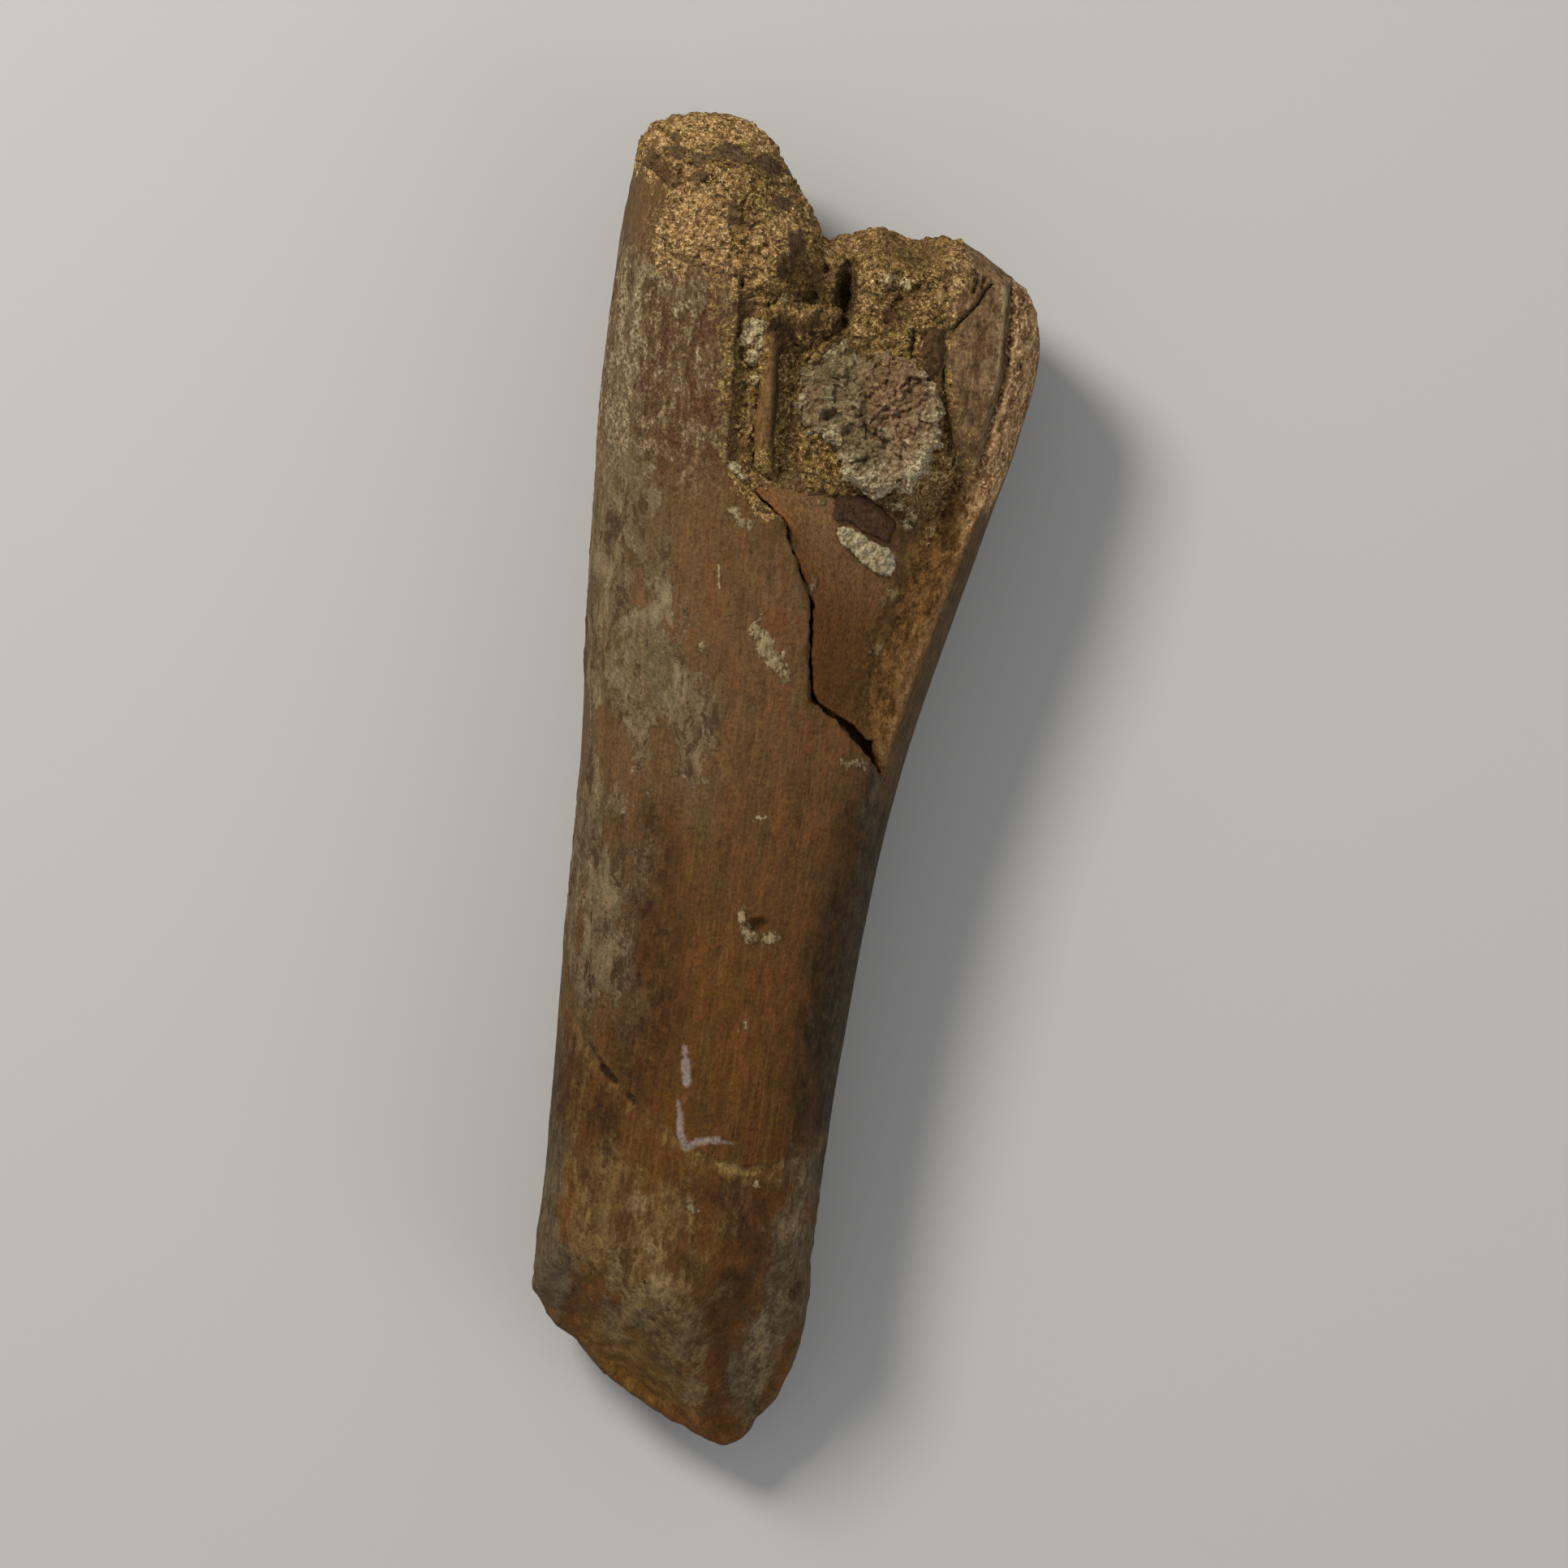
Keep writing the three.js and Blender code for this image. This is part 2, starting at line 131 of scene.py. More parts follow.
# y, then the heights of the underside, of the widest line and of the crest.
HEIGHTS = [
    (-127, 10.5, 14.0, 16.5), (-124, 7.0, 14.8, 23.5), (-115, 2.9, 17.0, 36.0),
    (-100, 0.2, 21.0, 43.5), (-88, -0.8, 21.8, 45.0), (-46, -0.8, 22.8, 46.6),
    (-16, 0.9, 23.6, 48.6), (20, 1.2, 24.8, 51.4), (52, 0.2, 26.2, 54.8), (68, -0.8, 26.8, 56.8),
    (102, -0.8, 28.0, 58.0), (130, 3.0, 28.4, 58.0),
]
SECTION_POWER = 2.3
BONE_MESH = {"step": 0.5, "triangles": 196000}
# Two slanting, worn faces of the lower end, which meet in a ridge.
LEFT_FACET = {"x": -33.8, "y": -101, "slope": 1.42, "along_x": 0.547, "along_y": 0.837}
RIDGE = {"x": -3, "y": -100, "height": 41, "fall_x": 0.72, "fall_y": 0.79}

# x, then how far up the broken end reaches.
UPPER_BREAK = [
    (-42, 98), (-40.6, 110), (-39.2, 120), (-34.8, 124.3), (-27, 126.5), (-20, 125.8),
    (-15.6, 123.6), (-12.4, 119.6), (-9.6, 115.6), (-6.2, 111.6), (-1.6, 105.2), (2, 107),
    (9, 108.6), (14, 107.4), (22, 108.4), (31.4, 104.2), (37, 100), (40, 95), (42.5, 86),
]
HORN = {"crest": 57.5, "round_above": 33, "setback": 17, "undercut": 13}
LOBE = {"crest": 46.5, "round_above": 31, "setback": 9, "undercut": 10}
NOTCH_X = -1.6

# y, then x of the left edge of the window.
BREAK_EDGE = [
    (5.5, 20.7), (9.6, 16.3), (14.2, 11.0), (17.4, 5.7), (27.1, 4.0), (36.1, 3.3), (44.7, -1.2),
    (50.6, -3.5), (59.1, -15.2), (78, -16.1), (94.4, -17.2), (97, -29.6), (101, -32.5),
    (109, -31.4), (114.5, -37.4), (118, -45),
]
# y, then x of its right edge, where the bare face of the wall begins.
WALL_EDGE = [
    (5.5, 20.9), (12, 18.2), (20, 16.4), (32, 18.7), (39, 21.0), (52, 22.4), (60, 26.0), (66, 27.0),
    (76, 24.5), (90, 22.0), (130, 21.0),
]
# y, then x of the lip along that bare face.
WALL_LIP = [
    (5.5, 20.8), (30, 26.0), (57, 33.0), (66, 31.5), (73, 32.3), (86, 33.9), (97, 33.4),
    (130, 30.0),
]
BAND_LEVEL = 38.4
LAMELLA_LEVEL = 43.2
MARROW_FLOOR = 10
WALL_CURVE = 0.017
WINDOW_START = 5.5
SAND_START = 57.4
PLATE_THICKNESS = 7.5
PLATE_DROP = 2.6
PLATE_SAG = 1.6

GRADIENTS = np.random.default_rng(7).normal(size=(32, 32, 32, 3)).astype(np.float32)
GRADIENTS /= np.linalg.norm(GRADIENTS, axis=-1, keepdims=True)


def noise(x, y, z, size, seed=0):
    """Smooth lumps about `size` mm across, from about -1 to 1."""
    x, y, z = np.broadcast_arrays(x, y, z)
    q = np.stack([x, y, z], -1) / np.asarray(size, float) + 7.31 * seed
    cell = np.floor(q).astype(np.int32)
    f = (q - cell).astype(np.float32)
    fade = f * f * f * (f * (f * 6 - 15) + 10)
    total = np.zeros(x.shape, np.float32)
    for corner in range(8):
        c = np.array([corner & 1, corner >> 1 & 1, corner >> 2])
        g = GRADIENTS[tuple(np.moveaxis((cell + c) % 32, -1, 0))]
        share = np.prod(np.where(c, fade, 1 - fade), axis=-1)
        total += share * np.sum(g * (f - c), axis=-1)
    return 1.5 * total


def crumbs(x, y, z, size, seed=0):
    """Rounded lumps with sharp creases between them, in three sizes, from 0 to about 1."""
    total = 0.0
    for step in range(3):
        total = total + abs(noise(x, y, z, np.asarray(size) / 2**step, seed + step)) / 2**step
    return total


def along(rows, t, column=1):
    """The value at t of a list of [position, value, ...] rows, on a smooth curve through them."""
    at = np.array([row[0] for row in rows], float)
    value = np.array([row[column] for row in rows], float)
    step = np.diff(at)
    rise = np.diff(value) / step
    slope = np.zeros_like(value)
    slope[0], slope[-1] = rise[0], rise[-1]
    turns = rise[:-1] * rise[1:] <= 0
    a, b = 2 * step[1:] + step[:-1], step[1:] + 2 * step[:-1]
    before, after = np.where(turns, 1, rise[:-1]), np.where(turns, 1, rise[1:])
    slope[1:-1] = np.where(turns, 0, (a + b) / (a / before + b / after))
    t = np.clip(t, at[0], at[-1])
    i = np.clip(np.searchsorted(at, t) - 1, 0, len(step) - 1)
    s = (t - at[i]) / step[i]
    start = (1 + 2 * s) * (1 - s) ** 2 * value[i] + s * (1 - s) ** 2 * step[i] * slope[i]
    return start + s * s * (3 - 2 * s) * value[i + 1] + s * s * (s - 1) * step[i] * slope[i + 1]


def straight(rows, t):
    """The same on straight lines between the rows."""
    return np.interp(t, [row[0] for row in rows], [row[1] for row in rows])


def ease(low, high, t):
    """0 below low, 1 above high, and a smooth rise between."""
    share = np.clip((t - low) / (high - low), 0, 1)
    return share * share * (3 - 2 * share)


def mix(a, b, share):
    return a + (b - a) * share


def inside_both(a, b, corner=0.001):
    """The larger of two distances, with the corner between them rounded over `corner` mm."""
    h = np.clip(0.5 + 0.5 * (b - a) / corner, 0, 1)
    return a + (b - a) * h + corner * h * (1 - h)


def inside_either(a, b, corner=0.001):
    """The smaller of two distances, rounded in the same way."""
    return -inside_both(-a, -b, corner)


def line_distance(x, y, points):
    """Distance from a line through these points."""
    nearest = np.full(np.broadcast(x, y).shape, np.inf)
    for (ax, ay), (bx, by) in zip(points, points[1:]):
        u, v = bx - ax, by - ay
        share = np.clip(((x - ax) * u + (y - ay) * v) / (u * u + v * v), 0, 1)
        nearest = np.minimum(nearest, np.hypot(x - ax - share * u, y - ay - share * v))
    return nearest


def outside(x, y, corners):
    """Distance outside an outline with these corners; below 0 inside it."""
    ring = [*corners, corners[0]]
    within = np.zeros(np.broadcast(x, y).shape, bool)
    for (ax, ay), (bx, by) in zip(ring, ring[1:]):
        within ^= ((ay > y) != (by > y)) & (x < (bx - ax) * (y - ay) / ((by - ay) or 1e-9) + ax)
    nearest = line_distance(x, y, ring)
    return np.where(within, -nearest, nearest)


def section(y):
    """Middle, half width, underside, widest height and crest of the shaft at y."""
    left, right = along(OUTLINE, y, 1), along(OUTLINE, y, 2)
    under, level, crest = (along(HEIGHTS, y, column) for column in (1, 2, 3))
    return (left + right) / 2, (right - left) / 2, under, level, crest


def whole_bone(x, y, z):
    """How far a point lies outside the unbroken bone, in mm; below 0 it is inside."""
    middle, half, under, level, crest = section(y)
    across = np.abs(x - middle) / half
    up = np.where(z > level, (z - level) / (crest - level), (level - z) / (level - under))
    round_off = (across**SECTION_POWER + up**SECTION_POWER) ** (1 / SECTION_POWER)
    skin = (round_off - 1) * np.minimum(half, crest - level)
    left = 1 + LEFT_FACET["slope"] * (
        LEFT_FACET["along_x"] * (x - LEFT_FACET["x"]) + LEFT_FACET["along_y"] * (y - LEFT_FACET["y"])
    )
    across_ridge = RIDGE["fall_x"] * (x - RIDGE["x"])
    right = RIDGE["height"] - level - across_ridge + RIDGE["fall_y"] * (y - RIDGE["y"])
    facets = np.maximum(0.4, inside_either(left, right, 2.0))
    return inside_both(skin, 0.62 * (z - level - facets), 2.6)


def front_height(x, y):
    """Height of the unbroken front skin."""
    middle, half, _, level, crest = section(y)
    across = np.clip(np.abs(x - middle) / half, 0, 1)
    return level + (crest - level) * (1 - across**SECTION_POWER) ** (1 / SECTION_POWER)


def upper_reach(x, z):
    """How far up the broken, sand-filled end reaches."""
    horn = 1 - ease(NOTCH_X - 5, NOTCH_X + 5, x)
    crest, start, setback, undercut = (mix(LOBE[k], HORN[k], horn) for k in HORN)
    over = np.maximum(0, (z - start) / (crest - start))
    under = np.clip((26 - z) / 26, 0, 1)
    ragged = 1.1 * noise(x, 120, z, 9) + 0.5 * noise(x, 120, z, 3.5, 1)
    edge = along(UPPER_BREAK, x) + 0.35 * noise(x, 0, 0, 3.2, 4)
    return np.minimum(edge, 126.5) - setback * over**2.2 - undercut * under**1.8 + ragged * under


def break_edge(y):
    """x of the broken edge of the front wall, a little ragged."""
    return straight(BREAK_EDGE, y) + 0.35 * noise(0, y, 0, 4.2, 2) + 0.2 * noise(0, y, 0, 1.3, 3)


def wall_edge(y):
    return along(WALL_EDGE, y) + 0.3 * noise(30, y, 0, 5, 5)


def wall_top(x, y):
    """Height of the right wall's bare broken face."""
    inner, lip = along(WALL_EDGE, y), along(WALL_LIP, y)
    outer = along(OUTLINE, y, 2)
    to_lip = np.clip((x - inner) / np.maximum(1, lip - inner), 0, 1)
    past_lip = np.clip((x - lip) / np.maximum(1, outer - lip), 0, 1)
    band = BAND_LEVEL - 1.9 + 1.9 * to_lip**1.4
    ridge = 0.5 * np.exp(-(((x - lip + 0.6) / 0.7) ** 2))
    groove = 1.9 * np.exp(-(((x - lip - 1.0) / 0.7) ** 2))
    crumbly = 1.8 * (crumbs(x, y, 0, 3.6, 6) - 0.45) * ease(0.1, 0.4, past_lip)
    lamella = LAMELLA_LEVEL - 2.2 * to_lip**2 - 8.5 * past_lip**1.5 + ridge - groove + crumbly
    return mix(band, lamella, ease(60, 71, y))


def plate_top(x, y):
    """Height of the pressed-in plate, which sags in its middle."""
    left, right = straight(BREAK_EDGE, y), along(WALL_EDGE, y)
    share = np.clip((x - left) / np.maximum(1, right - left), 0, 1)
    high = front_height(left, y) - PLATE_DROP
    return mix(high, BAND_LEVEL - 1.9, share) - PLATE_SAG * np.sin(np.pi * share)


def marrow_floor(x, y):
    """Height of the floor that the sand lies on."""
    middle = section(y)[0]
    rising = 14 * (1 - ease(SAND_START, SAND_START + 22, y))
    return MARROW_FLOOR + rising + WALL_CURVE * (x - middle) ** 2


def grid(low, high, step):
    """Three axes of evenly spaced coordinates, ready to combine into a block of points."""
    x, y, z = (np.arange(a, b + step, step) for a, b in zip(low, high))
    return x[:, None, None], y[None, :, None], z[None, None, :]


def skin_over(field, axes):
    """Corners and four-sided faces of a closed skin where the field crosses 0."""
    axes = [axis.ravel() for axis in axes]
    within = field < 0
    count = np.zeros([n - 1 for n in field.shape], np.uint8)
    corners = [(i, j, k) for i in (0, 1) for j in (0, 1) for k in (0, 1)]
    nx, ny, nz = count.shape
    for i, j, k in corners:
        count += within[i : nx + i, j : ny + j, k : nz + k]
    crossed = (count > 0) & (count < 8)
    cell = np.stack(np.nonzero(crossed), -1)
    number = np.full(count.shape, -1, np.int32)
    number[crossed] = np.arange(len(cell))
    place = np.zeros((len(cell), 3))
    hits = np.zeros(len(cell))
    for axis in range(3):
        for corner in corners:
            if corner[axis]:
                continue
            a = cell + corner
            b = a.copy()
            b[:, axis] += 1
            fa, fb = field[tuple(a.T)], field[tuple(b.T)]
            cut = (fa < 0) != (fb < 0)
            share = np.where(cut, fa / np.where(cut, fa - fb, 1), 0)
            point = a.astype(float)
            point[:, axis] += share
            place += np.where(cut[:, None], point, 0)
            hits += cut
    place /= hits[:, None]
    for axis in range(3):
        place[:, axis] = np.interp(place[:, axis], np.arange(len(axes[axis])), axes[axis])
    faces = []
    for axis in range(3):
        u, v = (axis + 1) % 3, (axis + 2) % 3
        first = np.take(within, range(field.shape[axis] - 1), axis)
        second = np.take(within, range(1, field.shape[axis]), axis)
        edge = np.stack(np.nonzero(first != second), -1)
        edge = edge[(edge[:, u] > 0) & (edge[:, v] > 0)]
        edge = edge[(edge[:, u] < field.shape[u] - 1) & (edge[:, v] < field.shape[v] - 1)]
        around = []
        for du, dv in ((-1, -1), (0, -1), (0, 0), (-1, 0)):
            at = edge.copy()
            at[:, u] += du
            at[:, v] += dv
            around.append(number[tuple(at.T)])
        quad = np.stack(around, -1)
        leaving = first[tuple(edge.T)]
        faces.append(np.where(leaving[:, None], quad, quad[:, ::-1]))
    return place, np.concatenate(faces)


def mesh_of(name, place, faces):
    mesh = bpy.data.meshes.new(name)
    mesh.vertices.add(len(place))
    mesh.vertices.foreach_set("co", (place * MM).astype(np.float32).ravel())
    mesh.loops.add(faces.size)
    mesh.loops.foreach_set("vertex_index", faces.astype(np.int32).ravel())
    mesh.polygons.add(len(faces))
    mesh.polygons.foreach_set("loop_start", np.arange(0, faces.size, faces.shape[1], dtype=np.int32))
    mesh.update(calc_edges=True)
    return mesh


def read_points(mesh, what="co"):
    values = np.zeros(len(mesh.vertices) * 3, np.float32)
    mesh.vertices.foreach_get(what, values)
    return values.reshape(-1, 3).astype(float)


def thinned(mesh, most):
    """The mesh with its smoother parts on fewer, larger triangles."""
    holder = bpy.data.objects.new("holder", mesh)
    bpy.context.scene.collection.objects.link(holder)
    thin = holder.modifiers.new("thin", "DECIMATE")
    thin.ratio = min(1, most / (2 * len(mesh.polygons)))
    thin.use_collapse_triangulate = True
    seen = bpy.context.evaluated_depsgraph_get()
    result = bpy.data.meshes.new_from_object(holder.evaluated_get(seen))
    bpy.data.objects.remove(holder)
    bpy.data.meshes.remove(mesh)
    return result


def shaped(name, axes, field, relief, most, zones):
    """A solid piece: the skin of a field, roughened by relief, thinned, and marked with zones."""
    place, faces = skin_over(field, axes)
    mesh = mesh_of(name, place, faces)
    normal = read_points(mesh, "normal")
    place = place + normal * relief(*place.T, normal)[:, None]
    low, high = (np.array(corner) / MM for corner in cad_box)
    place = np.clip(place, low, high)
    mesh.vertices.foreach_set("co", (place * MM).astype(np.float32).ravel())
    mesh = thinned(mesh, most)
    mesh.name = name
    mesh.polygons.foreach_set("use_smooth", np.ones(len(mesh.polygons), bool))
    place, normal = read_points(mesh) / MM, read_points(mesh, "normal")
    for zone, value in zones(*place.T, normal).items():
        layer = mesh.attributes.new(zone, "FLOAT", "POINT")
        layer.data.foreach_set("value", np.broadcast_to(value, len(place)).astype(np.float32))
    piece = bpy.data.objects.new(name, mesh)
    bpy.context.scene.collection.objects.link(piece)
    return piece


COARSE = 1.0
bone_axes = grid((-43.3, -129.1, -1.75), (43.3, 129, 60), BONE_MESH["step"] * COARSE)
X, Y, Z = bone_axes
bone_field = whole_bone(X, Y, Z)
bone_field = np.maximum(bone_field, -Z)
bone_field = inside_both(bone_field, 0.75 * (Y - upper_reach(X, Z)), 2.0)
pocket_floor = np.where(Y < SAND_START, plate_top(X, Y) - PLATE_THICKNESS - 0.6, marrow_floor(X, Y))
pocket = np.maximum(break_edge(Y) - X, X - wall_edge(Y))
pocket = np.maximum(pocket, np.maximum(pocket_floor - Z, WINDOW_START - Y))
bone_field = inside_both(bone_field, -pocket, 0.5)
above_wall = np.maximum(np.maximum(wall_edge(Y) - 0.6 - X, WINDOW_START - Y), 0.9 * (wall_top(X, Y) - Z))
bone_field = inside_both(bone_field, -above_wall, 0.4)

# The line of the mended break, and what opens or splits beside it.
MEND_LINE = [
    (-37, -41.0), (-34.7, -43.3), (-29.9, -49.5), (-25.3, -55.0), (-20.9, -59.1), (-14.8, -64.5),
    (-7.4, -68.4), (-1.7, -70.8), (3.8, -71.7), (9.1, -70.8), (14.1, -68.0), (17.6, -64.7),
    (21, -61),
]
LAMELLA_CRACK = [(24.0, 90.4), (24.7, 91.7), (26.7, 94.2), (28.2, 96.2), (29.2, 98.6), (30.4, 100.4)]
LAMELLA_CHIPS = [[(27.0, 98.2), (27.4, 100.8), (26.6, 102.4)], [(28.4, 99.2), (28.9, 101.4)]]
MEND_GAPS = [[(-25.0, -55.6), (-23.4, -57.1), (-22.2, -58.0)], [(-19.3, -60.3), (-18.3, -61.4)]]
LEFT_SLIT = [(-29.4, -59.5), (-29.8, -65.5)]
# The outline of the sand, seen from above.
SAND_PLAN = [
    (-3.6, 56.6), (-4.8, 52.6), (-8.4, 52.4), (-12.6, 56.6), (-15.2, 59.1), (-16.1, 78),
    (-17.6, 92.6), (-22.5, 94.4), (-28.2, 96.2), (-32.4, 99.2), (-33.6, 103.0), (-32.4, 108.0),
    (-33.6, 112.2), (-38.6, 115.6), (-46, 119), (-46, 140), (60, 140), (60, 56.6),
]
# x, y, two radii, turn in degrees, depth.
BONE_PITS = [
    (0.9, -25.6, 2.5, 1.7, 10, 1.5), (17.0, -94.2, 2.4, 1.3, 62, 2.4),
    (-5.5, -31.2, 0.7, 1.5, 0, 0.5), (-31.0, -40.6, 1.3, 1.0, 0, 0.5),
    (-26.2, 57.4, 1.4, 3.2, 20, 0.4), (18.9, -76, 1.3, 4, 0, 0.6),
]
# The line of a crack, its depth and its half width.
BONE_CRACKS = [
    (LAMELLA_CRACK, 1.3, 0.42),
    (LAMELLA_CHIPS[0], 0.9, 0.4),
    (LAMELLA_CHIPS[1], 1.0, 0.5),
    (MEND_GAPS[0], 0.9, 0.55),
    (MEND_GAPS[1], 0.7, 0.5),
    (LEFT_SLIT, 0.6, 0.45),
]


def mend_distance(x, y):
    """How far above the mended break a point lies, along the shaft."""
    slope = (straight(MEND_LINE, x + 2) - straight(MEND_LINE, x - 2)) / 4
    wander = 0.55 * noise(x, y, 0, 4, 11) + 0.3 * noise(x, y, 0, 1.7, 12)
    return (y - straight(MEND_LINE, x) + wander) / np.hypot(1, slope)


def bowl(x, y, cx, cy, rx, ry=None, turn=0.0):
    """1 at the middle of an oval and 0 at its rim and beyond."""
    c, s = np.cos(np.radians(turn)), np.sin(np.radians(turn))
    u, v = (x - cx) * c + (y - cy) * s, (y - cy) * c - (x - cx) * s
    return np.clip(1 - (u / rx) ** 2 - (v / (ry or rx)) ** 2, 0, 1)


def bone_relief(x, y, z, normal):
    depth = -whole_bone(x, y, z)
    broken = ease(0.5, 1.3, depth) * ease(3, 7, y)
    low = 1 - ease(-84, -60, y)
    front = ease(0.05, 0.35, normal[:, 2])
    smooth = 0.3 * noise(x, y, z, (16, 34, 16)) + 0.08 * noise(x, y, z, (3.2, 26, 3.2), 1)
    smooth += 0.05 * noise(x, y, z, (1.4, 9, 1.4), 2) + 0.04 * noise(x, y, z, 1.1, 3)
    worn = 0.9 * (crumbs(x, y, z, (8, 12, 8), 3) - 0.45) + 0.3 * noise(x, y, z, (3, 5, 3), 6)
    flutes = ease(-112, -100, y) * (1 - ease(-90, -82, y)) * (1 - ease(-10, -2, x))
    worn += 0.7 * noise(x, y, z, (3.4, 26, 9), 7) * flutes
    crust = ease(0, 2.5, crust_cover(x, y, z) + 2.5 * noise(x, y, z, (4, 8, 4), 8))
    crust *= 0.14 + 0.3 * crumbs(x, y, z, 2.6, 14)
    rough = 1.1 * (crumbs(x, y, z, 4.2, 17) - 0.4) + 0.15 * noise(x, y, z, 1.1, 10)
    band = 0.7 * (crumbs(x, y, z, (3, 6, 3), 20) - 0.4) + 0.12 * noise(x, y, z, 0.9, 13)
    on_band = ease(14, 18, x) * (1 - ease(60, 72, y))
    lamella = ease(66, 70, y) * (1 - ease(-0.2, 0.8, x - along(WALL_LIP, y))) * ease(19, 21, x)
    rough = mix(mix(rough, band, on_band), 0.16 * rough, lamella)
    off = mix(smooth + mix(0, worn, low) + crust, rough, broken)
    gap = mend_distance(x, y)
    crumbling = 0.5 * noise(x, y, z, 2.4, 24)
    right_part = ease(-11, -5, x)
    groove = (0.14 + 0.5 * crumbling + 0.5 * crumbling * right_part) * np.exp(-((gap / 0.9) ** 2))
    below = 0.3 * ease(0.6, -0.6, gap) * np.exp(np.minimum(gap, 0) / 9)
    off -= front * (1 - broken) * (groove + below) * ease(-36, -30, x)
    for cx, cy, rx, ry, turn, deep in BONE_PITS:
        off -= front * deep * ease(0, 0.75, bowl(x, y, cx, cy, rx, ry, turn))
    for line, deep, wide in BONE_CRACKS:
        off -= front * deep * np.exp(-((line_distance(x, y, line) / wide) ** 2))
    for cx, cy, rx, ry in CREAM_MARKS:
        off += 0.18 * front * ease(0, 0.6, bowl(x, y, cx, cy, rx, ry))
    return off


def patches(x, y, rows, wobble=1.0):
    """Millimetres inside the nearest of these ovals, whose rims wander; below 0 outside them."""
    u = x + wobble * 2.0 * noise(x, y, 0, 6, 22)
    v = y + wobble * 3.0 * noise(x, y, 0, 8, 23)
    level = np.full(np.broadcast(x, y).shape, -9.0)
    for cx, cy, rx, ry in rows:
        level = np.maximum(level, (1 - np.hypot((u - cx) / rx, (v - cy) / ry)) * min(rx, ry))
    return level


# Ovals: x, y and two radii.
CRUST_PATCHES = [
    (-39, 62, 9, 18), (-36, 44, 10.5, 12), (-31, 32, 9, 11), (-25, 21, 6.5, 10), (-35, 20, 5, 7),
    (-21, 11, 5.5, 9), (-15.5, 8, 2.6, 5.5), (-32, -9, 5, 7), (-29, -23, 5.5, 11),
    (-27.5, -36, 4.5, 9), (-35.5, -14, 3, 11), (-34, -29, 3, 9), (-38, 82, 5, 13),
]
CRUST_HOLES = [
    (-33.8, 42.7, 1.0, 4.0), (-31.8, 27.0, 1.7, 3.8), (-28.0, 33.6, 3.4, 1.0),
    (-24.0, 31.6, 1.6, 2.2), (-26.2, 57.4, 1.4, 3.2), (-30.5, 4.0, 4.0, 4.5),
    (-21.5, 3.0, 2.5, 5.0),
]


def crust_cover(x, y, z):
    """Millimetres inside the edge of the grey crust, below 0 where the skin is bare."""
    level = section(y)[3]
    front = np.minimum(patches(x, y, CRUST_PATCHES), -1.5 * patches(x, y, CRUST_HOLES, 0.5))
    behind = 11 * noise(x, y, z, (19, 34, 15), 21) + 1.5
    return np.clip(mix(front, behind, 1 - ease(-9, 0, z - level)), -9, 9)


# Cream marks; those round the pit near (1, -26) are partly a painted highlight on its lower rim.
CREAM_MARKS = [
    (-5.7, 29.4, 1.2, 2.4), (-3.9, 26.6, 1.9, 2.6), (-1.6, 24.3, 2.0, 2.0), (0.4, 21.8, 1.0, 1.5),
    (-12.6, 51.0, 1.5, 1.0), (-10.9, 48.9, 1.8, 1.1), (-15.9, 25.2, 1.1, 0.9), (-1, -5.2, 0.6, 0.3),
    (0.6, -44.3, 0.9, 0.6), (-1.8, -24.4, 1.1, 1.7), (-1.1, -26.4, 1.2, 1.6),
    (0.2, -28.0, 1.5, 1.2), (2.4, -28.1, 1.6, 1.1), (4.2, -27.2, 1.4, 1.2), (15.2, 6.9, 2.2, 0.9),
    (6.9, -74.2, 0.9, 0.6), (-5, -80, 1.3, 0.7),
]
TAN_PATCHES = [
    (-21, -76, 9, 6), (-15, -84, 10, 8), (-23, -88, 5, 6), (-6, -84, 5, 4), (-4, -92, 6, 5),
    (-13, -94, 8, 7), (-16.5, -101, 3, 7), (-9, -101, 8, 7), (-4, -108, 5, 7), (-30, -48, 3.5, 8),
    (-26, -74, 3, 4),
]
PALE_PATCHES = [
    (-18.2, -95.5, 1.6, 5), (-16.2, -103, 1.5, 5), (-3.4, -106, 1.8, 6), (-0.4, -114, 1.6, 6),
    (-12, -88, 2.4, 3), (-15, -80, 2.6, 3), (-9, -97, 4, 4), (-14, -101, 4, 4),
    (11.4, -106, 1.8, 6), (15.6, -80, 1.4, 7),
]
GREY_PATCHES = [
    (16.0, -74, 3.6, 9), (15.4, -86, 4.6, 9), (14.4, -96, 4.8, 8), (11.8, -105, 4.4, 8),
    (9.4, -114, 3.6, 7), (-31, -97, 5, 9), (-33, -84, 3.5, 13), (21, -20, 3, 30),
    (19, -50, 1.6, 20),
]
# Dark stains, and painted shade inside the pits, in the gaps of the mend and along the right flank.
DARK_AND_SHADED_PATCHES = [
    (1, -76.5, 10, 4.0), (6, -84, 5.5, 7), (5, -94, 4, 5), (3.0, -102, 3.2, 5),
    (5.6, -115, 2.8, 5.5), (4.6, -109, 2.6, 4), (14.4, -40, 4.5, 30), (16, -12, 4, 16),
    (20, 0, 3, 14), (-26, -101, 2.4, 6), (-27, -93, 2.0, 6), (-24, -64, 6, 6), (-20.5, -67, 2.2, 5),
    (-14.5, -69, 1.8, 3.5), (-20.5, -24, 4.5, 12), (-19, -40, 5.0, 14), (-18.0, -42, 7.5, 24),
    (-19.5, -18, 5.5, 16), (-31, -58, 5.0, 14), (-33.5, -64, 5.0, 18), (-9.1, 33.5, 0.7, 0.9),
    (-5.5, -31.2, 0.8, 1.6), (0.8, -25.3, 1.7, 1.1), (-23.4, -57.1, 1.6, 0.8),
    (-18.3, -60.8, 1.1, 0.7), (17.0, -94.2, 1.1, 1.8),
]
OCHRE_PATCHES = [(-9, -114, 11, 8), (-17, -107, 8, 6), (-28, -62, 3, 6), (-25, -80, 4, 5), (-16, -76, 6, 4)]


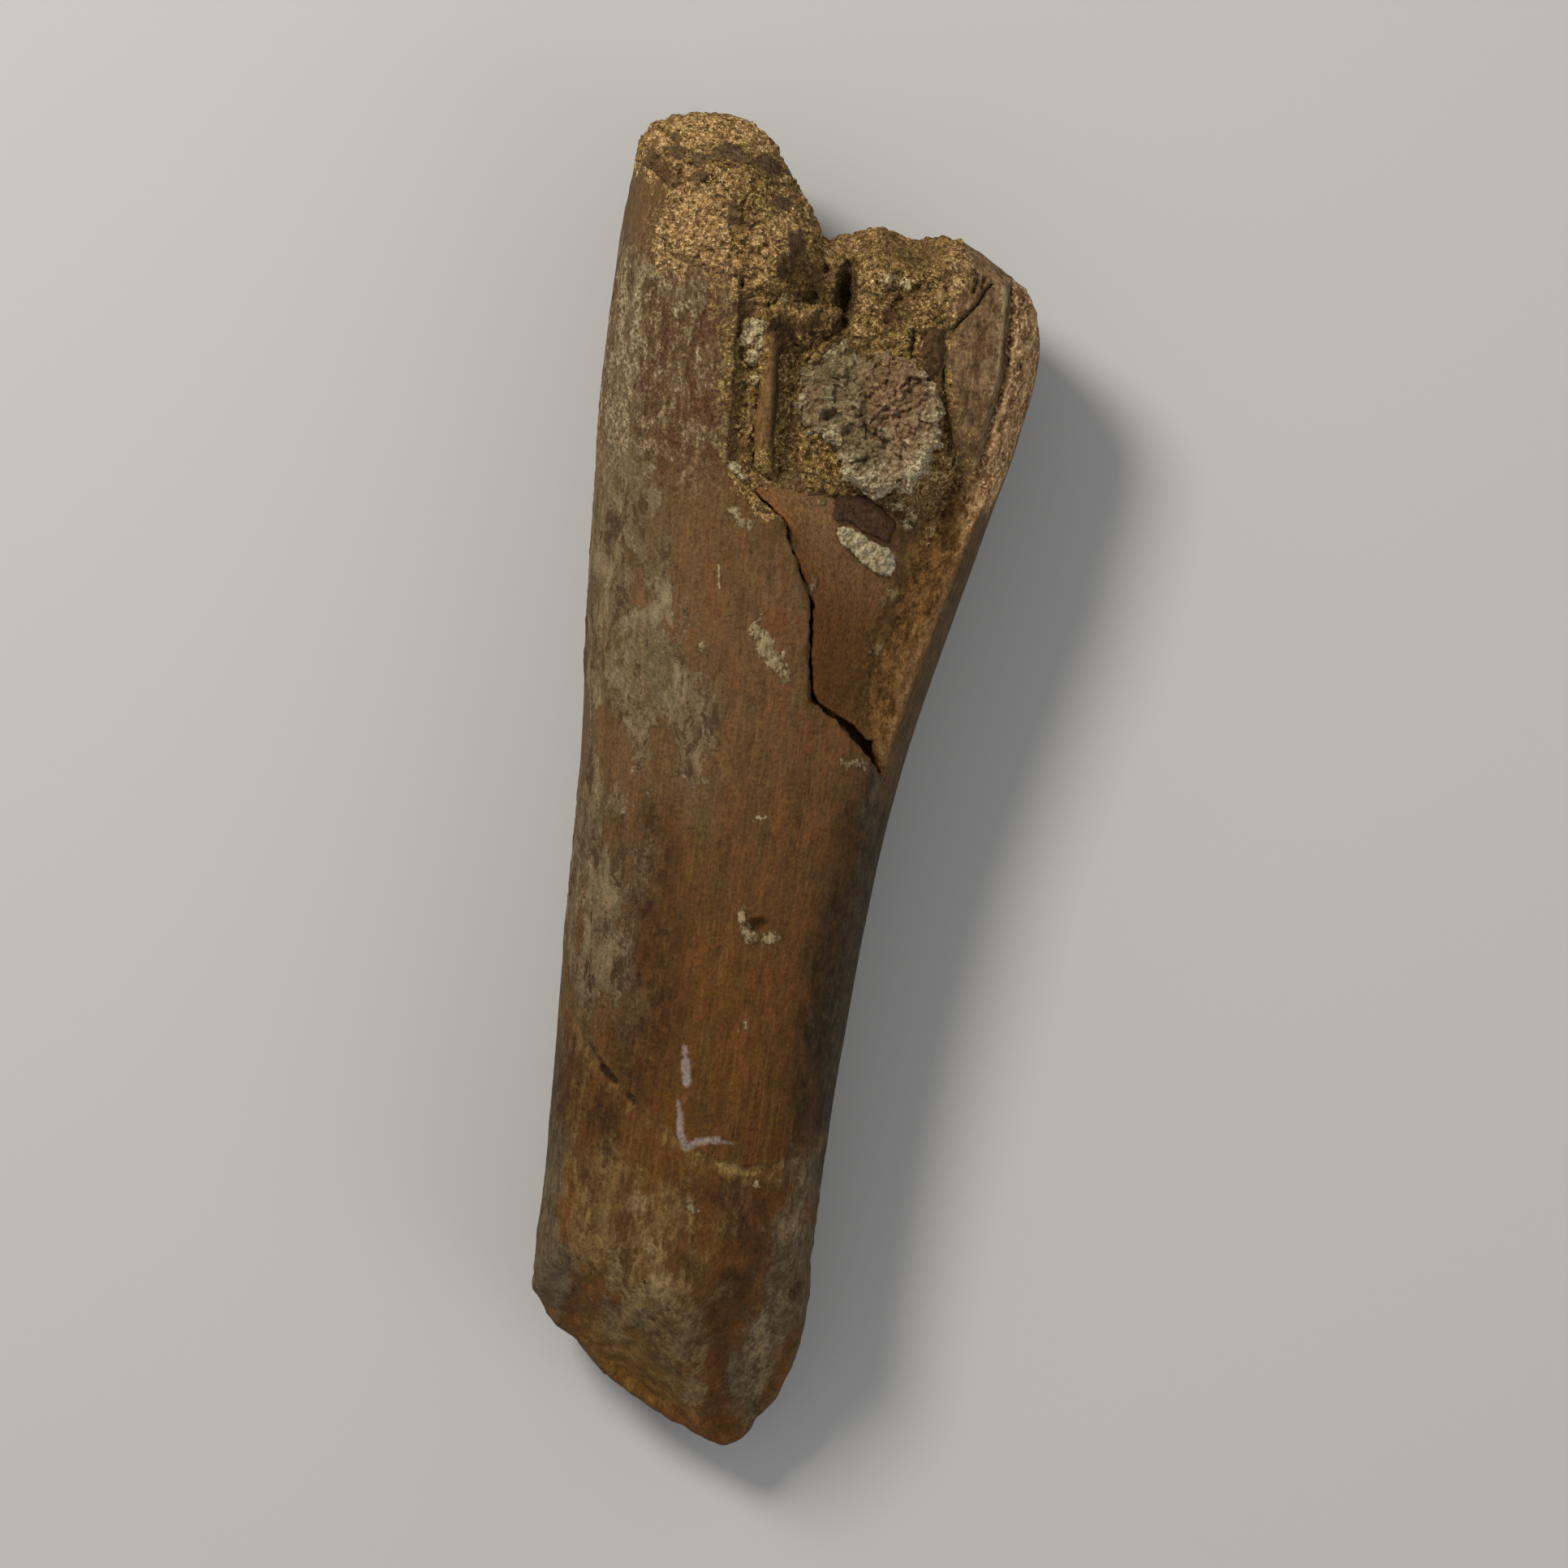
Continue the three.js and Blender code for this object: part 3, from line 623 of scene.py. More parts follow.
def bone_zones(x, y, z, normal):
    middle, half, _, level, _ = section(y)
    front = ease(-6, 2, z - level)
    depth = np.clip(-whole_bone(x, y, z), -1, 6) * ease(2, 6, y)
    frayed = 1.4 * ease(2, 9, z - level) * ease(18, 24, x) * ease(52, 66, y)
    shade = ease(0.5, 0.98, (x - middle) / half) * (1 - ease(-20, 22, y))
    shade = shade * ease(-80, -56, y) * ease(-22, 2, z - level)
    over_wall = along(WALL_EDGE, y) + 1.2 - x
    sandy = np.where(x > 8, over_wall, -outside(x, y, SAND_PLAN))
    return {
        "broken": np.maximum(depth, frayed),
        "crust": crust_cover(x, y, z),
        "cream": mix(-9, patches(x, y, CREAM_MARKS, 0.25), front),
        "tan": mix(-5, patches(x, y, TAN_PATCHES), front),
        "pale": mix(-5, patches(x, y, PALE_PATCHES, 0.4), front),
        "grey": mix(-5, patches(x, y, GREY_PATCHES), front),
        "shade": shade,
        "dark": mix(6 * noise(x, y, z, (14, 30, 14), 25) - 2, patches(x, y, DARK_AND_SHADED_PATCHES, 0.6), front),
        "ochre": mix(8 * noise(x, y, z, (20, 34, 20), 26) - 2, patches(x, y, OCHRE_PATCHES), front),
        "mend": np.clip(mend_distance(x, y), -9, 9),
        "sandy": np.where((y > 50) & (z > 36), np.clip(sandy, -9, 9), -9),
        "lip": np.clip(x - along(WALL_LIP, y), -9, 9),
        "rim": (np.abs(x - middle) / half - 0.9) * half,
        "front": front,
    }


bone = shaped("petrified_bone", bone_axes, bone_field, bone_relief, BONE_MESH["triangles"], bone_zones)


class Socket:
    """One value in a material. Sums, products and powers of it add the Math nodes they need."""

    def __init__(self, tree, out):
        self.tree = tree
        self.out = out

    def node(self, kind, settings, sockets, output=0):
        """Adds a node: its settings go first, then the values or links of its sockets."""
        made = self.tree.nodes.new(kind)
        for name, value in settings.items():
            setattr(made, name, value)
        for name, value in sockets.items():
            if isinstance(value, Socket):
                self.tree.links.new(value.out, made.inputs[name])
            else:
                made.inputs[name].default_value = value
        return Socket(self.tree, made.outputs[output])

    def maths(self, operation, *values, clamp=False):
        settings = {"operation": operation, "use_clamp": clamp}
        return self.node("ShaderNodeMath", settings, dict(enumerate(values)))

    def __add__(self, other):
        return self.maths("ADD", self, other)

    __radd__ = __add__

    def __sub__(self, other):
        return self.maths("SUBTRACT", self, other)

    def __rsub__(self, other):
        return self.maths("SUBTRACT", other, self)

    def __mul__(self, other):
        return self.maths("MULTIPLY", self, other)

    __rmul__ = __mul__

    def __neg__(self):
        return self.maths("MULTIPLY", self, -1.0)

    def __abs__(self):
        return self.maths("ABSOLUTE", self)

    def above(self, low, high):
        """0 below low, 1 above high, and a smooth rise between."""
        limits = {"Value": self, "From Min": low, "From Max": high}
        return self.node("ShaderNodeMapRange", {"interpolation_type": "SMOOTHSTEP"}, limits)

    def blend(self, first, second):
        """The first colour where this value is 0 and the second where it is 1."""
        settings = {"data_type": "RGBA", "clamp_factor": True}
        return self.node("ShaderNodeMix", settings, {0: self, 6: first, 7: second}, 2)

    def mottle(self, first, second, spread=0.3):
        """From the first colour to the second as this noise goes from -spread to spread."""
        return self.above(-spread, spread).blend(srgb(*first), srgb(*second))

    def tinted(self, share):
        """This colour made lighter or darker: `share` times as strong."""
        least = share.maths("MAXIMUM", share, 0.25)
        return self.node("ShaderNodeVectorMath", {"operation": "SCALE"}, {0: self, "Scale": least})

    def vector(self, operation, *values, output=0):
        return self.node("ShaderNodeVectorMath", {"operation": operation}, dict(enumerate(values)), output)

    def stretched(self, x, y, z):
        return self.vector("MULTIPLY", self, (x, y, z))

    def axis(self, name):
        return self.node("ShaderNodeSeparateXYZ", {}, {0: self}, name)

    def cloud(self, scale, detail=3.0, roughness=0.55, distortion=0.0):
        """Cloudy noise over this position, about -0.5 to 0.5, with lumps 1/scale mm across."""
        sockets = {"Vector": self, "Scale": scale, "Detail": detail, "Roughness": roughness}
        lumps = self.node("ShaderNodeTexNoise", {}, {**sockets, "Distortion": distortion})
        return lumps * 2.2 - 1.1

    def curls(self, scale, width):
        """1 on thin curled lines that wander about 1/scale mm apart, and 0 between them."""
        return 1 - abs(self.cloud(scale, 2.0, 0.6)).above(0.0, width)

    def zone(self, name):
        return self.node("ShaderNodeAttribute", {"attribute_name": name}, {}, "Fac")

    def line_distance(self, start, end):
        """Distance of this flat position from a straight line between two points."""
        (ax, ay), (bx, by) = start, end
        run = (bx - ax, by - ay, 0)
        off = self.vector("SUBTRACT", self, (ax, ay, 0))
        dot = off.vector("DOT_PRODUCT", off, run, output="Value")
        share = dot.maths("MULTIPLY", dot, 1 / (run[0] ** 2 + run[1] ** 2), clamp=True)
        foot = share.node("ShaderNodeVectorMath", {"operation": "SCALE"}, {0: run, "Scale": share})
        return off.vector("DISTANCE", off, foot, output="Value")


def srgb(red, green, blue):
    """A colour given as 0 to 255 shares, as the light it stands for."""
    share = np.array([red, green, blue]) / 255
    linear = np.where(share <= 0.04045, share / 12.92, ((share + 0.055) / 1.055) ** 2.4)
    return (*(float(v) for v in linear), 1.0)


def new_material(name, gloss):
    """A node material, its position in mm as a Socket, and its shader node."""
    material = bpy.data.materials.new(name)
    material.use_nodes = True
    tree = material.node_tree
    shader = tree.nodes["Principled BSDF"]
    shader.inputs["Specular IOR Level"].default_value = gloss
    where = tree.nodes.new("ShaderNodeTexCoord")
    place = Socket(tree, where.outputs["Object"]).stretched(1 / MM, 1 / MM, 1 / MM)
    return material, place, shader


def finish_material(shader, place, colour, roughness, height):
    bump = place.node("ShaderNodeBump", {}, {"Height": height, "Distance": MM, "Strength": 1.0})
    for name, value in (("Base Color", colour), ("Roughness", roughness), ("Normal", bump)):
        place.tree.links.new(value.out, shader.inputs[name])


def sand_colours(p, clumps, speckle):
    """Olive and golden sand, each mottled pink and grey, with light and dark grains."""
    grain = p.cloud(1.5, 2.0, 0.8)
    hue = p.vector("ADD", p, (31.0, 7.0, 3.0)).cloud(0.5, 4.0, 0.75)
    drift = p.vector("ADD", p, (-17.0, 23.0, 9.0)).cloud(0.14, 6.0, 0.7)
    lit = 1.12 + grain * 1.5 + speckle * 0.4 + clumps * 0.6
    sands = []
    for dark, mid, light in (
        (srgb(104, 78, 36), srgb(172, 138, 76), srgb(230, 202, 146)),
        (srgb(146, 108, 58), srgb(222, 180, 118), srgb(255, 232, 182)),
    ):
        colour = clumps.above(-0.25, 0.25).blend(dark, mid)
        colour = (drift.above(0.02, 0.3) * 0.5).blend(colour, srgb(136, 100, 70))
        colour = ((-drift).above(0.04, 0.3) * 0.45).blend(colour, srgb(104, 84, 46))
        colour = (hue.above(0.06, 0.3) * 0.5).blend(colour, srgb(158, 112, 84))
        colour = ((-hue).above(0.06, 0.3) * 0.4).blend(colour, srgb(104, 92, 56))
        sands.append((grain.above(0.12, 0.35) * 0.55).blend(colour, light).tinted(lit))
    return (*sands, grain)


bone_material, p, bone_shader = new_material("petrified_bone", 0.12)
flat = p.stretched(1, 1, 0)
ragged = p.stretched(1, 0.5, 1).cloud(0.13, 9.0, 0.7, 0.3)
blotchy = p.stretched(1, 0.45, 1).cloud(0.26, 6.0, 0.62, 0.8)
flaky = p.stretched(1, 0.6, 1).cloud(0.5, 8.0, 0.76, 0.3)
speckle = p.cloud(1.4, 2.0, 0.7)
lean = {"Vector": p, "Rotation": (0.0, 0.0, 0.7), "Scale": (0.6, 1.5, 1.0)}
slanted = p.node("ShaderNodeMapping", {"vector_type": "TEXTURE"}, lean).cloud(1.0, 3.0, 0.7, 0.4)
fibres = p.stretched(2.0, 0.14, 2.0).cloud(1.0, 4.0, 0.6)
threads = p.stretched(1.6, 0.045, 1.6).cloud(1.0, 2.0, 0.5)
bands = p.stretched(0.3, 0.022, 0.3).cloud(1.0, 6.0, 0.66)
worn = ragged * 14 + flaky * 6 + speckle * 1.5
up = p.axis("Y")
sideways = p.axis("X")
window_wall = sideways.above(24, 32) * up.above(54, 62)
not_wall = 1 - window_wall * 0.8

# Painted shade: the skin darkens towards the lower end, standing in for the light falling off along the
# shaft, and is warmer there in its own tone.
colour = up.above(-60, 40).blend(srgb(92, 57, 20), srgb(104, 77, 48))
colour = (bands.above(0.0, 0.3) * 0.6).blend(colour, srgb(80, 55, 17))
colour = ((-bands).above(0.0, 0.3) * 0.5).blend(colour, srgb(118, 71, 33))
colour = (blotchy.above(0.02, 0.3) * 0.6).blend(colour, srgb(88, 63, 28))
colour = ((-blotchy).above(0.04, 0.3) * 0.5).blend(colour, srgb(115, 70, 38))
colour = (threads.above(0.15, 0.4) * 0.25).blend(colour, srgb(122, 100, 48))
lit = 1 + fibres * 0.5 + flaky * 0.5 + up.above(-86, -100) * 0.15

# Dark stains, partly painted shade in pits, mend gaps and along the right flank.
dark = (p.zone("dark") + worn * 0.35).above(-1.5, 3.0)
colour = (dark * 0.72).blend(colour, flaky.mottle((52, 32, 11), (78, 50, 22)))
ochre = (p.zone("ochre") + worn * 0.6).above(-2.0, 4.0)
colour = (ochre * 0.7).blend(colour, blotchy.mottle((94, 66, 24), (134, 102, 48)))
tan = (p.zone("tan") + worn * 0.8).above(-2.2, 2.6)
tan_tint = (blotchy + flaky * 0.6).mottle((88, 62, 30), (142, 112, 68), 0.35)
colour = (tan * 0.85).blend(colour, tan_tint)
grey = (p.zone("grey") + worn * 0.4).above(-1.6, 2.0)
colour = (grey * 0.8).blend(colour, flaky.mottle((78, 67, 46), (112, 99, 74)))
pale = (p.zone("pale") + worn * 0.5).above(-1.4, 2.0)
colour = (pale * 0.5).blend(colour, flaky.mottle((124, 100, 66), (160, 138, 98), 0.2))
# Painted shade where the skin turns away at both sides, in a dull olive brown.
rim = (p.zone("rim") + worn * 0.4).above(-1.2, 2.4) * not_wall
rim_shade_tint = flaky.mottle((58, 47, 27), (92, 78, 52))
colour = (rim * 0.6).blend(colour, rim_shade_tint)

crust = p.zone("crust") + worn
colour = (crust.above(-8, 0) * not_wall * 0.4).blend(colour, srgb(108, 86, 57))
crust = crust.above(-1.6, 1.0) * not_wall
holes = (blotchy + flaky * 0.9 + ragged * 0.5).above(0.08, 0.24)
crust_tint = (ragged + flaky * 0.5).mottle((122, 106, 74), (150, 124, 92))
crust_tint = ((-blotchy - flaky * 0.5).above(0.02, 0.3) * 0.75).blend(crust_tint, srgb(178, 156, 118))
hole_tint = flaky.above(-0.2, 0.3).blend(srgb(102, 76, 50), srgb(72, 47, 31))
crust_tint = (holes * 0.8).blend(crust_tint, hole_tint)
crust_tint = (slanted.above(0.12, 0.36) * 0.5).blend(crust_tint, srgb(176, 156, 122))
crust_tint = ((-slanted).above(0.16, 0.4) * 0.4).blend(crust_tint, srgb(88, 66, 44))
colour = (crust * 0.94).blend(colour, crust_tint)
scaly_place = up.above(50, 66) * up.above(108, 90) * (-sideways).above(10, 18)
scaly_tint = blotchy.mottle((106, 70, 48), (138, 110, 76), 0.2)
colour = (scaly_place * 0.65).blend(colour, scaly_tint)
scaly = (ragged + blotchy * 1.4 + flaky * 1.4 + slanted * 0.8 + crust * 0.25).above(0.0, 0.6) * scaly_place
colour = (scaly * 0.85).blend(colour, speckle.mottle((124, 106, 74), (188, 168, 130)))
curled = p.curls(0.8, 0.07) * (flaky * 2 + 0.25) * scaly_place
colour = (curled * 0.8).blend(colour, srgb(206, 186, 148))
shade = (p.zone("shade") + ragged * 0.9 + blotchy * 0.6).above(0.05, 0.95)
left_flank = sideways.above(-14, -22) * up.above(4, -12) * up.above(-78, -68)
dull_part = sideways.above(-6, 6) * up.above(-50, -60) * up.above(-74, -68)
lit = lit - left_flank * 0.15 - dull_part * 0.14
colour = (shade * 0.7).blend(colour, flaky.mottle((34, 26, 13), (60, 51, 33)))
rough_part = crust.maths("MAXIMUM", crust, scaly_place)
lit = lit + scaly_place * (slanted * 0.5 + speckle * 0.3) - crust * fibres * 0.3

mend = p.zone("mend")
on_front = p.zone("front").above(0.2, 0.7)
ledge = (1 - abs(mend + 0.8 + flaky * 3).above(0.6, 2.6)) * (blotchy * 2 + 0.22)
colour = (ledge * on_front).blend(colour, srgb(128, 98, 54))
crumbly = (flaky * 3 + blotchy * 2).above(-0.7, 0.6)
filler = 1 - abs(mend + 0.2 + flaky * 2 + speckle * 0.4).above(0.3, 1.1)
filler = filler * crumbly * sideways.above(-9, -4)
colour = (filler * on_front * sideways.above(18, 10) * 0.7).blend(colour, srgb(142, 116, 70))
seam = 1 - abs(mend - 0.45 + speckle * 0.6 + flaky).above(0.1, 0.6)
colour = (seam * (flaky * 2.4 + 0.2) * p.zone("front")).blend(colour, srgb(44, 30, 13))


def off_lines(lines):
    """How far the surface lies from the nearest of these broken lines."""
    nearest = None
    for line in lines:
        for start, end in zip(line, line[1:]):
            off = flat.line_distance(start, end)
            nearest = off if nearest is None else off.maths("MINIMUM", nearest, off)
    return nearest


# Painted shade in the open gaps of the mend.
gap = off_lines(MEND_GAPS)
gap = (1 - (gap + speckle * 0.5 + flaky).above(0.35, 0.8)) * on_front
colour = (gap * 0.8).blend(colour, srgb(38, 25, 11))

cream = p.zone("cream") + flaky * 2.2 + speckle * 1.2
cream = cream.above(-0.1, 0.4)
colour = (cream * 0.9).blend(colour, flaky.mottle((116, 94, 58), (188, 166, 124)))

# Lilac paint: the start and end of each dab, and its half width.
PAINT_STROKES = [
    ((-9.9, -50.0), (-9.4, -53.0), 0.35),
    ((-9.4, -52.6), (-8.7, -56.4), 0.7),
    ((-9.8, -60.4), (-9.3, -62.8), 0.2),
    ((-9.2, -62.6), (-8.8, -66.0), 0.45),
    ((-8.7, -66.0), (-7.4, -68.8), 0.55),
    ((-7.4, -68.7), (-5.0, -67.4), 0.5),
    ((-5.4, -67.4), (-1.6, -66.6), 0.5),
    ((-1.6, -66.6), (1.2, -67.0), 0.1),
]
paint = None
for start, end, width in PAINT_STROKES:
    stroke = width - flat.line_distance(start, end)
    paint = stroke if paint is None else paint.maths("MAXIMUM", paint, stroke)
paint = (paint + flaky * 0.35 + speckle * 0.1).above(-0.5, 0.3) * p.zone("front")
colour = (paint * 0.75).blend(colour, srgb(150, 134, 124))
scratch = 0.17 - flat.line_distance((-14.5, 40.8), (-13.9, 36.6)) + speckle * 0.3
scratch = scratch.above(-0.08, 0.1) * p.zone("front")
colour = (scratch * 0.8).blend(colour, srgb(160, 142, 100))

lip = p.zone("lip")
high_wall = up.above(58, 68)
pores = p.stretched(1, 0.6, 1).cloud(0.9, 3.0, 0.7)
band_tint = flaky.mottle((90, 63, 30), (146, 105, 59))
band_tint = ((ragged + 0.15).above(-0.1, 0.3) * up.above(34, 18) * 0.9).blend(band_tint, srgb(150, 112, 62))
edge_tint = (flaky + blotchy * 0.6).above(-0.35, 0.25).blend(srgb(134, 92, 56), srgb(222, 178, 124))
edge_tint = (speckle.above(0.06, 0.32) * 0.65).blend(edge_tint, srgb(252, 218, 172))
edge_tint = (ragged.above(0.1, 0.35) * 0.6).blend(edge_tint, srgb(122, 66, 44))
edge_tint = up.above(66, 44).blend(edge_tint, flaky.mottle((98, 70, 40), (146, 112, 72)))
broken_tint = (lip + 2.8 + flaky * 6 + ragged * 5).above(-0.5, 2.0).blend(band_tint, edge_tint)
broken_tint = (pores.above(0.18, 0.45) * 0.55).blend(broken_tint, srgb(56, 38, 19))
lamella_tint = (flaky + blotchy * 0.8).mottle((111, 82, 54), (162, 130, 92), 0.35)
lamella_tint = (slanted.above(0.1, 0.4) * 0.4).blend(lamella_tint, srgb(160, 134, 98))
# A painted highlight along the lamella's raised lip.
painted_lip_highlight = 1 - abs(lip + 0.5 + speckle * 1.4 + flaky).above(0.1, 0.9)
lamella_tint = (painted_lip_highlight * (blotchy * 2 + 0.3)).blend(lamella_tint, srgb(176, 156, 116))
on_lamella = high_wall * (1 - (lip + speckle * 0.8 + flaky).above(0.1, 0.6))
broken_tint = on_lamella.blend(broken_tint, lamella_tint)
# Painted shade in the groove beside the lamella's lip.
groove = (1 - abs(lip - 0.8 + speckle * 1.0).above(0.1, 0.7)) * high_wall
broken_tint = (groove * 0.65).blend(broken_tint, srgb(46, 31, 16))
# Painted shade in the cracks of the lamella.
crack_shade = off_lines([LAMELLA_CRACK, *LAMELLA_CHIPS])
crack_shade = (1 - (crack_shade + speckle * 0.35).above(0.05, 0.35)) * up.above(86, 90)
broken_tint = (crack_shade * 0.8).blend(broken_tint, srgb(34, 22, 12))
broken = (p.zone("broken") + flaky * 1.2).above(0.3, 0.9)
colour = broken.blend(colour, broken_tint)
lit = lit + broken * (pores * 0.5 + speckle * 0.3)
low_wall = 1 - high_wall
# Painted shade: the lower wall's broken band darkens in the valley away from its lip, and is lighter near
# the lip and towards its lower end.
lit = lit + broken * low_wall * (lip.above(-9, -1) * 0.32 - 0.2 + up.above(28, 14) * 0.12)

clumps = p.cloud(0.7, 5.0, 0.7)
olive, golden, grain = sand_colours(p, clumps, speckle)
sand_tint = up.above(88, 97).blend(olive, golden)
sandy = (p.zone("sandy") + 0.6 + flaky * 9 + ragged * 14 + speckle * 3).above(-2.0, 1.4)
lit = lit + speckle * (0.65 - crust * 0.35)
colour = (sandy * 0.9).blend(colour.tinted(lit), sand_tint)

height = fibres * 0.08 + speckle * 0.11 + flaky * 0.24
height = height + rough_part * (flaky * 0.6 + slanted * 0.3 + 0.1) - crust * holes * 0.2
height = height + broken * (flaky * 0.7 - pores * 0.7) + tan * flaky * 0.4
height = height + cream * (flaky * 0.5 + 0.1) + sandy * (grain * 1.0 + 0.12)
roughness = 0.64 + crust * 0.25 + broken * 0.22 + sandy * 0.2 + flaky * 0.15
finish_material(bone_shader, p, colour, roughness, height)
bone.data.materials.append(bone_material)
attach(bone, "root")
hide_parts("bone")

# ---- Hardened sand ----
# Hardened sand fills the marrow space of the flared end. It caps the horn with a golden crust
# set with small stones, banks up between the fragments, and is worn into a slot and hollows.
SAND_MESH = {"step": 0.34, "triangles": 196000}
SAND_LEVEL = 45.6
TROUGH_LEVEL = 52.0
HORN_LEVEL = 56.2
BESIDE_WALL_DROP = 5.4
# y, then x where the horn's slope ends.
HORN_FOOT = [(57, -4), (92, -3), (100, -1), (120, -11)]
# x, then y of the ragged edge where the sand thins out over the plate.
SAND_EDGE = [
    (-13, 56.6), (-8, 52.6), (-5, 52.4), (-3, 56.2), (5.4, 56.6), (10, 56.6), (16.7, 54.4),
    (21, 52.4), (25, 55), (28, 60),
]
# x, then y of the low ledge across the horn.
LEDGE = [(-40, 112), (-31, 113.5), (-23, 111.6), (-17.5, 115.2), (-8, 116)]
# x, y, two radii, depth.
SAND_DIPS = [
    (3.0, 95.2, 1.8, 6.0, 7.0), (-4.6, 78.6, 2.0, 4.0, 1.0), (-2.6, 93.6, 2.2, 1.3, 1.4),
    (-1.0, 99.0, 2.0, 3.5, 0.8), (12.6, 93.0, 1.8, 6.0, 1.3), (4.5, 63.0, 2.5, 3.0, 0.9),
]
SAND_HOLES = [
    (-17.4, 106.4, 1.3, 3.2, 1.0), (23.4, 81.2, 0.8, 2.2, 1.6), (-10.5, 113.2, 1.2, 1.8, 0.7),
    (8.0, 104.0, 1.5, 1.2, 0.6), (19.5, 98.5, 1.2, 2.2, 0.8),
]
# x, y, two radii, turn in degrees, height.
SAND_STONES = [
    (-32.5, 120.1, 1.3, 0.9, 20, 0.5), (-31.6, 117.0, 1.6, 1.4, 10, 0.6),
    (-27.4, 116.4, 2.2, 1.1, 8, 0.8), (-21.7, 117.7, 3.6, 1.8, 14, 2.2),
    (-14.8, 116.8, 2.6, 1.9, -20, 1.8), (-26.7, 112.6, 1.5, 1.0, 20, 0.8),
    (-20.2, 106.2, 1.0, 2.8, -10, 0.7), (-10.8, 109.6, 2.0, 1.6, 0, 0.6),
    (-7.0, 102.5, 1.6, 2.2, 15, 0.6), (-8.8, 97.6, 1.8, 2.6, 30, 0.7),
    (20.6, 85.6, 2.1, 5.4, 0, 1.0),
]
WHITE_CRUMBS = [
    (-13.1, 85.6, 2.2, 1.9, 10, 1.3), (-14.3, 83.4, 1.6, 1.5, 0, 1.2),
    (-12.3, 83.0, 1.2, 1.3, 0, 0.9), (-13.0, 80.3, 1.5, 1.4, 0, 1.3),
    (-14.1, 59.2, 1.6, 1.6, 40, 1.1), (-12.7, 57.8, 1.7, 1.0, -35, 0.9),
    (-8.4, 91.9, 0.9, 0.9, 0, 0.8), (-11.9, 75.9, 0.9, 1.2, 0, 0.5), (10.7, 98.3, 0.9, 1.4, 0, 0.9),
    (13.8, 97.9, 1.3, 0.9, 0, 0.9), (15.9, 89.8, 0.6, 0.6, 0, 0.8), (20.8, 54.7, 1.2, 0.8, 0, 0.7),
    (17.8, 56.4, 1.4, 0.8, -20, 0.7), (19.4, 52.9, 1.0, 0.8, 0, 0.5),
]
# The line of a crevice, its depth and its half width.
SAND_CREVICES = [
    ([(-31.5, 115.3), (-28.5, 114.4), (-25.5, 114.9)], 0.5, 0.5),
    ([(-23.6, 116.0), (-20.8, 115.2), (-18.2, 116.4), (-16.4, 118.2)], 2.4, 0.7),
    ([(-16.6, 114.8), (-13.6, 114.4), (-11.6, 115.6)], 1.8, 0.6),
    ([(-28.2, 111.5), (-26.0, 111.3)], 0.6, 0.5),
    ([(16.6, 89.4), (16.8, 85.4), (17.4, 82.0)], 2.0, 0.55),
    ([(-17.2, 99.2), (-16.8, 96.0), (-16.3, 92.9)], 0.9, 0.4),
    ([(-12.8, 101.4), (-10.2, 98.2), (-7.0, 93.6)], 0.8, 0.5),
    ([(-6.0, 110.0), (-3.2, 104.5), (-1.6, 99.0)], 1.1, 0.7),
    ([(16.6, 101.0), (16.2, 96.0)], 0.7, 0.5),
]


def stones(x, y, rows):
    """Height of half-buried stones, with a steep rim so that each casts a little shade."""
    top = 0.0
    for cx, cy, rx, ry, turn, high in rows:
        u, v = x + 0.7 * noise(x, y, 0, 2.6, 60), y + 0.7 * noise(x, y, 0, 2.4, 61)
        top = np.maximum(top, high * bowl(u, v, cx, cy, 1.15 * rx, 1.15 * ry, turn) ** 0.55)
    return top


def sand_cavity(x, y):
    """Depth of the hollows and crevices below the sand around them."""
    deep = 0.0
    for cx, cy, rx, ry, most in SAND_DIPS:
        deep = deep + most * np.exp(-(((x - cx) / rx) ** 2) - ((y - cy) / ry) ** 2)
    for cx, cy, rx, ry, most in SAND_HOLES:
        u, v = x + 0.5 * noise(x, y, 0, 2.2, 62), y + 0.6 * noise(x, y, 0, 2.0, 63)
        deep = deep + most * ease(0, 0.7, bowl(u, v, cx, cy, 1.1 * rx, 1.1 * ry))
    for line, most, wide in SAND_CREVICES:
        off = line_distance(x + 0.5 * noise(x, y, 0, 1.8, 64), y, line)
        deep = deep + most * np.exp(-((off / wide) ** 2))
    return deep


def sand_cover(x, y):
    """How far inside its edge the sand reaches, in mm; it thins out there over the bone."""
    ragged_edge = 3.2 * noise(x, y, 0, 6.5, 40) + 1.2 * noise(x, y, 0, 2.8, 41)
    ragged_edge = ragged_edge + 0.6 * noise(x, y, 0, 1.3, 42)
    ragged_edge = ragged_edge * mix(0.35, 1, ease(90, 96, y))
    return ragged_edge - outside(x, y, SAND_PLAN)


